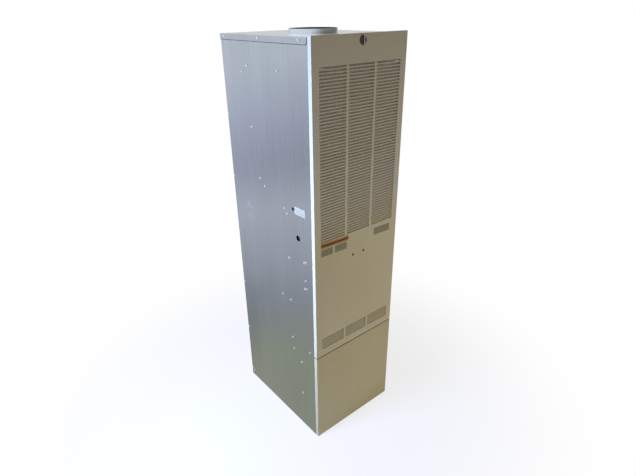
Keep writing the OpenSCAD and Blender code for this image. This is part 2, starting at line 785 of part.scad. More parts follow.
module gas_valve() color("lightgrey") from_face() difference() {
    union() {
        block(valve_x - valve_w / 2, valve_x + valve_w / 2, valve_y0 + 6, valve_y1 - 6, valve_z0, valve_z1);
        block(valve_x - valve_w / 2 + 6, valve_x + valve_w / 2 - 6, valve_y0, valve_y1,
            valve_z0 + 8, valve_z1 - 8);
        rod_z(valve_x, gas_y, valve_z1, valve_z1 + valve_boss, pipe_r + 5);
        rod_x(valve_x + valve_w / 2, valve_x + valve_w / 2 + valve_boss, manifold_y, burner_z, pipe_r + 5);
        rod_y(valve_x, valve_y0 - knob_seat, valve_y0, knob_z, knob_r + 3);
        rod_y(valve_x - 16, valve_y0 - 9, valve_y0, valve_z0 + 24, 9);
        rod_z(valve_x + 12, valve_y0 + 26, valve_z1, valve_z1 + 22, 12);
    }
    rod_y(valve_x, valve_y0 - knob_seat - cut, valve_y0 + knob_pin_l, knob_z, knob_pin_r + run_gap);
}

// Quarter-turn knob of the gas valve, its rib upright when the gas is on
module gas_valve_knob() color("firebrick") from_face() translate([valve_x, 0, knob_z]) {
    y1 = valve_y0 - knob_seat - knob_gap;
    y0 = y1 - knob_l;
    along_y(y0 + 5, y1) difference() {
        circle(knob_r);
        for (i = [0:11])
            rotate(i * 30 + 15) translate([knob_r + 1, 0]) circle(2.2);
    }
    block(-3, 3, y0, y0 + 5, -knob_r + 2, knob_r - 1);
    rod_y(0, y1, valve_y0 + knob_pin_l - 2, 0, knob_pin_r);
}

// Gas pipe from the valve up to the entry in the left side, with an elbow at the top
module gas_pipe() color(dark) from_face() {
    z0 = valve_z1 + valve_boss;
    z1 = gas_h - elbow_r;
    x1 = valve_x - elbow_r;
    x0 = pipe_end - in_x;
    translate([valve_x, gas_y, z0]) linear_extrude(z1 - z0) pipe_ring(pipe_r, pipe_t);
    translate([x1, gas_y, z1]) rotate([90, 0, 0])
        rotate_extrude(angle = 90) translate([elbow_r, 0]) pipe_ring(pipe_r, pipe_t);
    translate([x0, gas_y, gas_h]) rotate([0, 90, 0]) linear_extrude(x1 - x0)
        pipe_ring(pipe_r, pipe_t);
}

// ---------- controls ----------

module pressure_switch() color("darkslategrey") from_face() {
    rod_y(press_x, vest_y - 22, vest_y - 2, press_z, press_r - 4);
    rod_y(press_x, vest_y - 14, vest_y - 8, press_z, press_r);
    rod_y(press_x, hose_y - 8, vest_y - 22, press_z, 14);
    block(press_x - 20, press_x + 20, vest_y - 2, vest_y, press_z - 40, press_z + 40);
    difference() {
        rod_z(press_x, hose_y, press_z - port_l, press_z, port_r);
        rod_z(press_x, hose_y, press_z - port_l - cut, press_z, port_r / 3);
    }
}

// Rubber hose from the inducer housing to the pressure switch
module pressure_hose() color("dimgrey") from_face() {
    x0 = fan_x + fan_r0 + tap_l / 2;
    x1 = press_x - hose_bend;
    z1 = hose_z + hose_bend;
    translate([x0, hose_y, hose_z]) rotate([0, 90, 0]) linear_extrude(x1 - x0)
        pipe_ring(hose_r, hose_r - port_r);
    translate([x1, hose_y, z1]) rotate([-90, 0, 0]) rotate_extrude(angle = 90)
        translate([hose_bend, 0]) pipe_ring(hose_r, hose_r - port_r);
    translate([press_x, hose_y, z1]) linear_extrude(press_z - port_l + port_in - z1)
        pipe_ring(hose_r, hose_r - port_r);
}

// Open-fronted box with a plate on the right that carries the two switches
module control_box() color(galvanised) from_face() difference() {
    union() {
        block(box_x0, box_x1, vest_y - t, vest_y, control_z0, control_z1);
        block(box_x0, box_x0 + t, control_y, vest_y - t, control_z0, control_z1);
        block(box_x1 - t, box_x1, plate_y, vest_y - t, control_z0, control_z1);
        for (z = [control_z0, control_z1 - t])
            block(box_x0 + t, box_x1 - t, control_y, vest_y - t, z, z + t);
        block(box_x1 - plate_w, box_x1 - t, plate_y, plate_y + t, service_z - plate_low, control_z1);
        block(box_x1 - plate_w, box_x1 - t, plate_y + t, control_y, control_z1 - t, control_z1);
    }
    for (z = [door_switch_z, service_z])
        block(switch_x - 8, switch_x + 8, plate_y - cut, plate_y + t + cut, z - 13, z + 13);
}

module control_board() color("darkgreen") from_face() {
    x0 = box_x0 + 12;
    x1 = box_x0 + 122;
    z0 = control_z0 + 70;
    z1 = control_z1 - 10;
    y = vest_y - 12;
    face = y - 1.6;
    u = (z1 - z0) / 100;                  // the parts on the board keep their share of its height
    block(x0, x1, face, y, z0, z1);
    for (x = [x0 + 5, x1 - 5], z = [z0 + 5, z1 - 5])
        rod_y(x, y, vest_y - t, z, 3);
    for (x = [x0 + 10, x0 + 36])
        block(x, x + 18, face - 16, face, z0 + 11 * u, z0 + 38 * u);
    block(x0 + 64, x0 + 100, face - 9, face, z0 + 10 * u, z0 + 21 * u);
    block(x0 + 62, x0 + 82, face - 3, face, z0 + 38 * u, z0 + 57 * u);
    for (i = [0:4])
        rod_y(x0 + 14 + i * 9, face - 11, face, z0 + 59 * u, 3.2);
    block(x0 + 10, x0 + 70, face - 8, face, z0 + 84 * u, z0 + 92 * u);
}

module transformer() color("goldenrod") from_face() {
    x0 = box_x0 + 20;
    x1 = x0 + 62;
    y1 = vest_y - t;
    z0 = control_z0 + t + 4;
    block(x0, x1, y1 - 44, y1 - 2, z0, z0 + 12);
    block(x0, x1, y1 - 44, y1 - 2, z0 + 40, z0 + 52);
    for (x = [x0, x0 + 50])
        block(x, x + 12, y1 - 44, y1 - 2, z0 + 12, z0 + 40);
    block(x0 + 14, x1 - 14, y1 - 52, y1 - 4, z0 + 12, z0 + 40);
    block(x0 - 8, x1 + 8, y1 - 2, y1, z0 + 6, z0 + 46);
}

// Case behind the plate with a rim in front of it and two terminals
module switch_case(z) {
    block(switch_x - 11, switch_x + 11, plate_y - 2, plate_y, z - 17, z + 17);
    block(switch_x - 8, switch_x + 8, plate_y, plate_y + 24, z - 13, z + 13);
    for (dz = [-7, 7])
        block(switch_x - 3, switch_x + 3, plate_y + 24, plate_y + 32, z + dz - 0.4, z + dz + 0.4);
}

module service_switch() color(dark) from_face() difference() {
    switch_case(service_z);
    w = rocker_w / 2 + rocker_gap;
    h = rocker_h / 2 + 2 * rocker_gap;
    block(switch_x - w, switch_x + w, plate_y - 2 - cut, plate_y + 12, service_z - h, service_z + h);
    rod_x(switch_x - w - pivot_l - 0.2, switch_x + w + pivot_l + 0.2, pivot_y, service_z,
        pivot_r + run_gap);
}

// Rocker in the on position, its upper half pressed in
module service_rocker() color("black") from_face() {
    translate([0, pivot_y, service_z]) rotate([-rocker_tilt, 0, 0])
        along_x(switch_x - rocker_w / 2, switch_x + rocker_w / 2) polygon([
            [-10, -rocker_h / 2 + 0.5], [-7.6, 0], [-10, rocker_h / 2 - 0.5],
            [-4, rocker_h / 2], [4, 4], [4, -4], [-4, -rocker_h / 2]]);
    w = rocker_w / 2 + rocker_gap + pivot_l;
    rod_x(switch_x - w, switch_x + w, pivot_y, service_z, pivot_r);
}

module door_switch() color("whitesmoke") from_face() difference() {
    switch_case(door_switch_z);
    rod_y(switch_x, plate_y - 2 - cut, plate_y + 20, door_switch_z, plunger_r + run_gap);
}

// Plunger, pressed in by the tab on the upper door
module door_plunger() color("red") from_face()
    rod_y(switch_x, tab_d, plate_y + 12, door_switch_z, plunger_r);

// Disc thermostat with two terminals on a small mounting plate, facing -y
module disc_stat(x, y, z, r) {
    block(x - r - 8, x + r + 8, y - 1.5, y, z - r / 2, z + r / 2);
    rod_y(x, y - 11, y - 1.5, z, r);
    rod_y(x, y - 13, y - 11, z, r - 2);
    for (s = [-1, 1])
        block(x + s * 5 - 0.4, x + s * 5 + 0.4, y - 22, y - 13, z - 3, z + 3);
}

module limit_switch() color("dimgrey") from_face() disc_stat(limit_side - in_x, vest_y,
    outlet_z - limit_low, 10);

module rollout_switch() color("dimgrey") from_face() difference() {
    union() {
        block(roll_x - 18, roll_x + 18, box_y + 10, box_y + 26, roll_z, roll_z + 1.5);
        rod_z(roll_x, box_y + 18, roll_z + 1.5, roll_z + 11, 8);
        rod_z(roll_x, box_y + 18, roll_z + 11, roll_z + 14, 4.5);
        block(roll_x - 16, roll_x + 16, box_y + 15, box_y + 21, roll_z + 4, roll_z + 4.8);
    }
    rod_z(roll_x, box_y + 18, roll_z + 6, roll_z + 14 + cut, reset_r + run_gap);
}

module rollout_reset() color("red") from_face()
    rod_z(roll_x, box_y + 18, roll_z + 6 + reset_travel + 0.5, roll_z + 17, reset_r);

// ---------- blower ----------

// Volute of the blower in y and z about the wheel, with its chute down to the deck
module scroll_outline(wall) {
    n = 40;
    y0 = wall;
    y1 = scroll_r1 - wall;
    a0 = -90 + asin(y0 / (scroll_r0 - wall));
    polygon(concat(
        [[y1, deck_z - blower_z], [y0, deck_z - blower_z]],
        volute(scroll_r0 - wall, scroll_r1 - wall, a0, -360, n)));
}

// Bell mouth of an inlet, turned in from the outer face of the housing
module inlet_ring() turned_x(0, 0, 0) {
    intersection() {
        area(inlet_r, inlet_r + bell_r, 0, bell_r);
        translate([inlet_r + bell_r, bell_r]) pipe_ring(bell_r, t);
    }
    area(inlet_r + bell_r - cut, inlet_r + bell_r + t, 0, t);
}

module blower_housing() color(galvanised) from_face() {
    w = scroll_w / 2;
    difference() {
        union() {
            translate([0, blower_y, blower_z]) along_x(-w, w) scroll_outline(0);
            block(-w - 11, w + 11, blower_y + 4, blower_y + scroll_r1 - 4, deck_z, deck_z + 2);
        }
        translate([0, blower_y, blower_z]) along_x(-w + t, w - t) scroll_outline(t);
        block(-w + t, w - t, blower_y + t, blower_y + scroll_r1 - t, deck_z - cut, deck_z + 4);
        rod_x(-w - cut, w + cut, blower_y, blower_z, inlet_r + bell_r);
    }
    for (s = [0, 1])
        mirror([s, 0, 0]) translate([w, blower_y, blower_z]) mirror([1, 0, 0]) inlet_ring();
}

// Forward-curved blade between the inner and outer radius of the wheel
module blade() {
    bow = 11;
    lean = 25;
    translate([wheel_r - blade_d + 0.5, 0]) polygon(concat(
        [for (i = [0:4]) let (k = i / 4) [k * (blade_d - 1), bow * (k * k) - lean / 10]],
        [for (i = [4:-1:0]) let (k = i / 4) [k * (blade_d - 1), bow * (k * k) - lean / 10 + 1]]));
}

module blower_wheel() color(aluminised) from_face() translate([0, blower_y, blower_z]) {
    w = wheel_w / 2;
    along_x(-w, w) for (i = [0:blades - 1])
        rotate(i * 360 / blades) blade();
    for (x = [-w, w - 5])
        translate([x, 0, 0]) rotate([0, 90, 0]) linear_extrude(5) pipe_ring(wheel_r, 4);
    rod_x(-disc_t / 2, disc_t / 2, 0, 0, wheel_r - blade_d / 2);
    rod_x(-hub_r, disc_t, 0, 0, hub_r);
    rod_x(-hub_r - 5, motor_x0 + 40, 0, 0, shaft_r);
}

module blower_motor() color(dark) from_face() translate([0, blower_y, blower_z]) difference() {
    union() {
        rod_x(motor_x0 + 14, motor_x0 + motor_l - 14, 0, 0, motor_r);
        rod_x(motor_x0 + 6, motor_x0 + motor_l - 6, 0, 0, motor_r - 8);
        rod_x(motor_x0, motor_x0 + motor_l, 0, 0, motor_r / 3);
    }
    rod_x(motor_x0 - cut, motor_x0 + 60, 0, 0, shaft_r + run_gap);
}

// Band round the motor with three arms to the right side of the housing
module motor_mount() color(galvanised) from_face() translate([0, blower_y, blower_z]) {
    w = scroll_w / 2;
    x1 = motor_x0 + motor_l - 18;
    translate([w, 0, 0]) rotate([0, 90, 0]) linear_extrude(x1 - w) pipe_ring(motor_r + 2, 2);
    for (a = [90, 210, 330])
        along_x(w, w + 3) rotate(a) area(motor_r + 1, inlet_r + 28, -9, 9);
}

// Can with two terminals, held to the left side of the housing by a band
module capacitor() color("slategrey") from_face() {
    x = -scroll_w / 2 - can_r - 4;
    y = blower_y + can_back;
    z = blower_z - can_low;
    z1 = z + can_h;
    rod_z(x, y, z, z1, can_r);
    rod_z(x, y, z1, z1 + 4, can_r - 2);
    for (s = [-1, 1])
        block(x + s * 7 - 3, x + s * 7 + 3, y - 0.4, y + 0.4, z1 + 4, z1 + 14);
    along_z(z + can_h / 3, z + can_h * 0.6) {
        translate([x, y]) circle(can_r + 1.2);
        area(x + can_r - 2, -scroll_w / 2, y - 8, y + 8);
    }
}

module blower_rails() color(galvanised) from_face() for (s = [0, 1])
    mirror([s, 0, 0]) along_y(collar_y + duct_r + 9, back_y - flange_w - 4) {
        x = scroll_w / 2 + 12;
        area(x, x + 20, deck_z, deck_z + 1.5);
        area(x, x + 1.5, deck_z, deck_z + 5);
        area(x - 8, x + 1.5, deck_z + 3.5, deck_z + 5);
    }

// ---------- filters and doors ----------

// Pleated filter in a frame, its lower edge at z0
module filter(z0) {
    w = filter_w / 2;
    z1 = z0 + filter_h;
    rim = 8;
    y0 = filter_y;
    y1 = rack_y;
    difference() {
        block(-w, w, y0, y1, z0, z1);
        block(-w + rim, w - rim, y0 - cut, y1 + cut, z0 + rim, z1 - rim);
    }
    step = (filter_w - 2 * rim) / pleats;
    along_z(z0 + rim, z1 - rim) polygon(concat(
        [for (i = [0:2 * pleats]) [-w + rim + i * step / 2, i % 2 == 0 ? y0 + 1 : y1 - 3]],
        [for (i = [2 * pleats:-1:0]) [-w + rim + i * step / 2, i % 2 == 0 ? y0 + 3 : y1 - 1]]));
}

module filters() color("lightsteelblue") from_face() {
    filter(rack_z0 + t);
    filter(rack_z0 + t + filter_h);
}

// Strips on the back of the upper door that hold the filters at the sides and below
module filter_rack() color(galvanised) from_face() {
    w = rack_x;
    y1 = rack_y;
    for (s = [0, 1])
        mirror([s, 0, 0]) along_z(rack_z0, rack_z1) {
            area(w, w + rack_flange, t, 2 * t);
            area(w, w + t, t, y1);
            area(w - rack_hook, w + t, y1, y1 + t);
        }
    block(-w + filter_gap, w - filter_gap, t, y1, rack_z0, rack_z0 + t);
}

// Door with folded edges and a hem, between two heights
module door_pan(z0, z1) {
    w = cab_w / 2;
    difference() {
        block(-w, w, 0, door_d, z0, z1);
        block(-w + t, w - t, t, door_d - t, z0 + t, z1 - t);
        block(-w + hem_w, w - hem_w, t, door_d + cut, z0 + hem_w, z1 - hem_w);
    }
}

// Slots of one column of louvres, in x and z
module louvre_slots(z0, rows) for (i = [0:rows - 1])
    area(-louvre_w / 2, louvre_w / 2, z0 + i * louvre_pitch, z0 + i * louvre_pitch + louvre_cut);

// Side view of the slanted blades, in y and z; each is hinged at the foot of its slot
module blades_outline(z0, rows) for (i = [0:rows - 1])
    translate([0, z0 + i * louvre_pitch])
        polygon([[0, 0], [t, 0], [blade_in + t, blade_rise], [blade_in, blade_rise + t / 2], [0, t]]);

module louvre_column(x, z0, rows) translate([x, 0, 0])
    along_x(-louvre_w / 2, louvre_w / 2) blades_outline(z0, rows);

module upper_door() color(paint) from_face() {
    difference() {
        door_pan(split_h + split_gap / 2, door_top);
        for (x = [-louvre_dx, 0, louvre_dx]) {
            translate([x, 0, 0]) along_y(-cut, t + cut) louvre_slots(louvre_h, louvre_rows);
            translate([x, 0, 0]) along_y(-cut, t + cut) louvre_slots(vent_h, vent_rows);
        }
        rod_y(0, -cut, t + cut, latch_h, latch_shaft_r + run_gap);
        for (s = [-1, 1])
            rod_y(peep_x + s * peep_dx / 2, -cut, t + cut, peep_h, peep_r);
    }
    for (x = [-louvre_dx, 0, louvre_dx]) {
        louvre_column(x, louvre_h, louvre_rows);
        louvre_column(x, vent_h, vent_rows);
    }
    block(switch_x - 10, switch_x + 10, t, tab_d, door_switch_z - 9, door_switch_z - 7);
    block(switch_x - 10, switch_x + 10, tab_d - 2, tab_d, door_switch_z - 9, door_switch_z + 9);
}

module lower_door() color(paint) from_face() door_pan(door_foot, split_h - split_gap / 2);

module latch_knob() color(steel) from_face() translate([0, 0, latch_h]) {
    rod_y(0, -2.5, 0, 0, latch_r);
    rod_y(0, -4, -2.5, 0, latch_r - 4);
    block(-2.5, 2.5, -latch_proud, -2.5, -wing_h / 2, wing_h / 2);
    rod_y(0, 0, frame_y + t + 1.5 + cam_t, 0, latch_shaft_r);
}

// Cam on the end of the latch shaft; it lies along the slot in the rail when the latch is open
module latch_cam() color(galvanised) from_face() translate([0, 0, latch_h]) {
    y = frame_y + t + 1.5;
    along_y(y, y + cam_t) difference() {
        area(-cam_w / 2, cam_w / 2, -cam_l / 2, cam_l / 2);
        circle(latch_shaft_r);
    }
    rod_y(0, y + cam_t, y + cam_t + 3, 0, cam_w / 2 + 1);
}

// Foam strips between the doors and the frame
module door_foam() color("dimgrey") from_face() {
    for (s = [0, 1])
        mirror([s, 0, 0]) block(side_x - foam_w, side_x, door_d, front_y, 2 * t, roof_z);
    w = side_x - jamb_w - 1;
    for (z = [coil_h - rail_h / 2 + 2, split_h + split_gap / 2 + 1])
        block(-w, w, door_d, frame_y, z, z + foam_w);
    block(-w, w, door_d, frame_y, 4 * t, 4 * t + foam_w);
    difference() {
        block(-w, w, door_d, frame_y, roof_z - t - foam_w, roof_z - t);
        cam_slot(door_d - cut, frame_y + cut);
    }
}

// ---------- screws ----------

// Hexagon head on a washer, facing +x
module screw_head() {
    rotate([0, 90, 0]) {
        cylinder(h = 0.8, r = washer_r);
        cylinder(h = head_h, r = washer_r * 0.86, $fn = 6);
    }
}

// Places of the side screws: depth as a share of cab_d, and height as a share of cab_h
side_screws = [[0.7769, 0.9246], [0.7085, 0.9376], [0.3485, 0.9356], [0.7003, 0.8056],
    [0.6368, 0.6871], [0.5782, 0.6715], [0.3404, 0.6388], [0.3078, 0.6284], [0.3078, 0.5146],
    [0.4186, 0.3966], [0.3111, 0.3945], [0.3078, 0.2796], [0.2932, 0.2458], [0.0879, 0.2713],
    [0.2003, 0.2183], [0.1987, 0.1133], [0.9968, 0.0187]];
rear_screws = 7;
rear_low = 50;                            // height of the lowest screw at the back edge
rear_high = 37;                           // from the top one to the underside of the cap
rear_edge = 8;                            // from those screws to the back of the cabinet
cap_screw_front = 48.5;
cap_screw_back = 37;
cap_screw_low = 9;                        // from the top of the cap down to its screws
cap_screw_dx = 160;
cap_screw_y0 = front_y + cap_screw_front;
cap_screw_y1 = back_y - cap_screw_back;

module panel_screws() color(steel) from_face() {
    for (s = [0, 1])
        mirror([s, 0, 0]) {
            for (p = side_screws)
                translate([side_x, p[0] * cab_d, p[1] * cab_h]) screw_head();
            for (i = [0:rear_screws - 1])
                translate([side_x, back_y - rear_edge,
                    rear_low + i * (roof_z - rear_high - rear_low) / (rear_screws - 1)]) screw_head();
            for (y = [cap_screw_y0, (cap_screw_y0 + cap_screw_y1) / 2, cap_screw_y1])
                translate([cap_x, y, cab_h - cap_screw_low]) screw_head();
        }
    for (x = [-cap_screw_dx, 0, cap_screw_dx])
        translate([x, back_y + t, cab_h - cap_screw_low]) rotate([0, 0, 90]) screw_head();
}

left_side();
right_side();
back_panel();
top_panel();
top_collar();
base_pan();
coil_shelf();
top_rail();
mid_rail();
vestibule_panel();
blower_deck();
heat_shield();
hx_tube_1();
hx_tube_2();
hx_tube_3();
hx_tube_4();
collector_box();
inducer_housing();
inducer_motor();
inducer_wheel();
flue_adapter();
flue_pipe();
vent_duct();
burner_box();
burners();
orifices();
sight_glass();
igniter();
flame_sensor();
manifold();
gas_valve();
gas_valve_knob();
gas_pipe();
pressure_switch();
pressure_hose();
control_box();
control_board();
transformer();
service_switch();
service_rocker();
door_switch();
door_plunger();
limit_switch();
rollout_switch();
rollout_reset();
blower_housing();
blower_wheel();
blower_motor();
motor_mount();
capacitor();
blower_rails();
filters();
filter_rack();
upper_door();
lower_door();
latch_knob();
latch_cam();
door_foam();
panel_screws();
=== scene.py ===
"""Looks of the downflow closet furnace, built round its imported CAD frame.

All sizes are in metres, in the frame of the CAD model: +X to the right of someone who faces the
doors, +Y towards the back, +Z up, origin on the floor in the middle of the footprint.
"""

import math

import bmesh
import bpy
from bpy.props import FloatProperty, FloatVectorProperty, PointerProperty
from mathutils import Matrix, Vector


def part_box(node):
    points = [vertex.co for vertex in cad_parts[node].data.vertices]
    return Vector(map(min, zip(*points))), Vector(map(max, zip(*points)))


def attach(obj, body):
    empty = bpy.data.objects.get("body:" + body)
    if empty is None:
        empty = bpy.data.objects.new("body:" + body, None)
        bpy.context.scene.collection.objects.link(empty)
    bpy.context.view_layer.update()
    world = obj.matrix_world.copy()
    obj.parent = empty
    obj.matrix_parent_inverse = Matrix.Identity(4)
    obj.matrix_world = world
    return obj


bl_info = {
    "name": "Closet furnace finishes",
    "version": (1, 0, 0),
    "blender": (4, 0, 0),
    "location": "View3D > Sidebar > Furnace",
    "description": "Dresses the sheet-metal furnace with its finishes and small pieces",
    "category": "Object",
}

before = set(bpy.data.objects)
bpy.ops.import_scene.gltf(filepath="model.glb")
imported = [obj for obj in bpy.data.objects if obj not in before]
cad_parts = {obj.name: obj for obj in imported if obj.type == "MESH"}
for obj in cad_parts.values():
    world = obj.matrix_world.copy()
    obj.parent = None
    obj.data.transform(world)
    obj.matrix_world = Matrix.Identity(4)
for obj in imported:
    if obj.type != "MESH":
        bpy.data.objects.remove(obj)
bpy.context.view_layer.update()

MM = 0.001
DOOR_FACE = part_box("upper_door")[0].y
DOOR_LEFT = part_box("upper_door")[0].x
SIDE_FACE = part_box("left_side")[0].x
CAP_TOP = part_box("top_panel")[1].z
LIP_FOOT = CAP_TOP - 0.023          # lower edge of the cap's turned-down sides
SPLIT_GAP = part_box("upper_door")[0].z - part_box("lower_door")[1].z
SPLIT_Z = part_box("lower_door")[1].z + SPLIT_GAP / 2
COLLAR_R = 0.093                    # outer radius of the collar above its foot
PEEP_Z = 1.004                      # height of the peep holes
PEEP_X = (-0.0285, 0.0365)          # where they are across the door
DENTS_Y, DENTS_Z = 0.505, 1.13      # middle of the dented patch and its painted highlight, behind the door face and above the floor
GREYER_Z = (1.06, 1.30)             # the door's enamel turns greyer between these heights

# ---------------------------------------------------------------- stage

CAMERA_PLACE = (-1.34035, -1.67848, 2.01299)
CAMERA_YAW, CAMERA_PITCH, CAMERA_ROLL = 0.6821, -0.455, -0.016
FOCAL_SHARE = 468.255 / 636         # focal length as a share of the picture's width
SENSOR_WIDTH = 36.0

# name, place, the point it is turned to, size, watts, tint, and whether shiny surfaces mirror it
LAMPS = (
    ("key_left", (-1.6, 0.0, 1.22), (-0.25, 0.0, 1.22), (0.6, 0.9), 97, (0.33, 0.45, 1.0), False),
    ("fill_front", (0.9, -2.3, 0.35), (0.0, -0.3, 0.7), (2.0, 1.0), 17.5, (1.0, 0.87, 0.65), False),
    ("top", (0.6, 0.9, 4.3), (0.0, 0.0, 1.9), (2.4, 2.4), 18, (1.0, 0.97, 0.95), True),
)

WHITE = (1.0, 1.0, 1.0)
SOFT_TINT, SOFT_STRENGTH = (1.0, 0.96, 0.93), 0.19
# what shiny surfaces see of the studio
STUDIO_LEFT, STUDIO_RIGHT = (0.93, 1.0, 1.14), (0.80, 0.80, 0.81)
STUDIO_CORNER = (0.15, 0.16, 0.15)
# the painted reflection they see of the floor: distance from the object in metres, level, and blue against
# red
MIRRORED_FLOOR = (
    (0.6, 0.31, 0.86), (1.0, 0.35, 1.1), (1.35, 0.43, 1.26), (1.7, 0.58, 1.26),
    (3.0, 0.83, 1.25), (4.5, 0.67, 1.36), (9.0, 0.92, 1.36), (14.0, 1.0, 1.24),
)
MIRRORED_GREEN = 1.07               # green against red in the mirrored floor

# ---------------------------------------------------------------- small pieces, in mm

# On the door: from the left edge of the doors and above the floor. On the left side: behind the door
# face and above the floor. A film is its lower left corner, its width and its height.
LABEL_CORNER = (33, 1093)
LABEL_TILT = math.radians(-1.8)
STRIP = (0, 0, 160, 24)
BAND = (2, 8, 154, 8)
BAND_OUT = 0.22                     # the band lies on the strip
FILM_GAP = 0.02 * MM                # from the sheet to the back of a film
FIELDS_LEFT = ((2, -39, 66, 34), (80, -39, 70, 34))
FIELD_RIGHT_CORNER = (352, 1062)
FIELD_RIGHT = (0, 0, 104, 36)
STICKER_CORNER = (60, 1225)
STICKER = (0, 0, 74, 36)

PRESS_MARKS = ((66, 1011, 2), (73, 915, 1), (66, 875, 2))    # place of the first, and how many
MARK_STEP = (13, -3)                # from one mark to the next
GLINT_SPANS = ((38, 57), (437, 466))       # from where to where each bright tab, a painted glint, reaches
GLINT_Z = 1820.5
GLINT_IN = 2.2                        # behind the door face

# ---------------------------------------------------------------- sizes and colours


def colour(label, about, value):
    """A colour that the panel offers."""
    return FloatVectorProperty(
        name=label, description=about, subtype="COLOR", size=3, min=0.0, max=1.0, default=value
    )


def length(label, about, value):
    """A length in metres that the panel offers."""
    return FloatProperty(name=label, description=about, unit="LENGTH", min=0.0, default=value)


class FURNACE_PG_colours(bpy.types.PropertyGroup):
    """Colours of the finishes."""

    enamel: colour("Door enamel", "Baked enamel of both doors", (0.55, 0.484, 0.265))
    zinc: colour("Galvanised sheet", "Zinc coating of the cabinet", (0.52, 0.545, 0.55))
    zinc_dark: colour("Dull zinc", "Darker streaks in the zinc", (0.41, 0.43, 0.435))
    strip: colour("Label strip", "Bright strip over the left label", (0.455, 0.215, 0.080))
    film: colour("Label film", "Grey field of the blank labels", (0.255, 0.225, 0.112))
    sticker: colour("White sticker", "Blank sticker on the left side", (0.35, 0.31, 0.180))
    floor: colour("Floor", "Studio floor and backdrop", (0.86, 0.86, 0.86))


class FURNACE_PG_sizes(bpy.types.PropertyGroup):
    """Sizes of the small pieces."""

    spangle: length("Spangle", "Size of the crystals in the zinc", 0.012)
    film_t: length("Film thickness", "Thickness of the labels", 0.0002)
    mark_l: length("Press mark", "Length of each press mark in the side", 0.022)


# ---------------------------------------------------------------- shader building blocks

NOISE_ROUGHNESS = 0.55


class Nodes:
    """A node tree with short words for what is built in it."""

    def __init__(self, tree):
        self.nodes, self.links = tree.nodes, tree.links

    def feed(self, value, socket):
        """Gives a socket a number, a colour or what another socket puts out."""
        if isinstance(value, bpy.types.NodeSocket):
            self.links.new(value, socket)
        elif isinstance(value, (int, float)):
            socket.default_value = value
        else:
            socket.default_value = (*tuple(value)[:3], 1.0)

    def math(self, operation, a, b=0.0, c=None, clamp=False):
        node = self.nodes.new("ShaderNodeMath")
        node.operation = operation
        node.use_clamp = clamp
        for i, value in enumerate((a, b) if c is None else (a, b, c)):
            self.feed(value, node.inputs[i])
        return node.outputs[0]

    def vector(self, operation, a, b=None, output="Vector"):
        node = self.nodes.new("ShaderNodeVectorMath")
        node.operation = operation
        self.links.new(a, node.inputs[0])
        if b is not None:
            node.inputs[1].default_value = b
        return node.outputs[output]

    def axis(self, vector, name):
        node = self.nodes.new("ShaderNodeSeparateXYZ")
        self.links.new(vector, node.inputs["Vector"])
        return node.outputs[name]

    def spread(self, value, low, high, to_low=0.0, to_high=1.0, smooth=False):
        """Maps low..high of a value onto to_low..to_high."""
        node = self.nodes.new("ShaderNodeMapRange")
        node.interpolation_type = "SMOOTHSTEP" if smooth else "LINEAR"
        for name, v in (("From Min", low), ("From Max", high), ("To Min", to_low), ("To Max", to_high)):
            node.inputs[name].default_value = v
        self.links.new(value, node.inputs["Value"])
        return node.outputs["Result"]

    def between(self, share, first, second):
        """A colour between two, each a colour or a socket."""
        node = self.nodes.new("ShaderNodeMix")
        node.data_type = "RGBA"
        for i, value in ((0, share), (6, first), (7, second)):
            self.feed(value, node.inputs[i])
        return node.outputs[2]

    def ramp(self, value, stops):
        """A colour along a value: stops of (value, colour), which reach from 0 to the last one."""
        node = self.nodes.new("ShaderNodeValToRGB")
        last = stops[-1][0]
        points = node.color_ramp.elements
        while len(points) < len(stops):
            points.new(0.5)
        for point, (at, tint) in zip(points, stops):
            point.position = at / last
            point.color = (*tint, 1.0)
        self.links.new(self.math("DIVIDE", value, last, clamp=True), node.inputs[0])
        return node.outputs["Color"]

    def mix_shader(self, share, first, second):
        node = self.nodes.new("ShaderNodeMixShader")
        for i, value in enumerate((share, first, second)):
            self.links.new(value, node.inputs[i])
        return node.outputs[0]


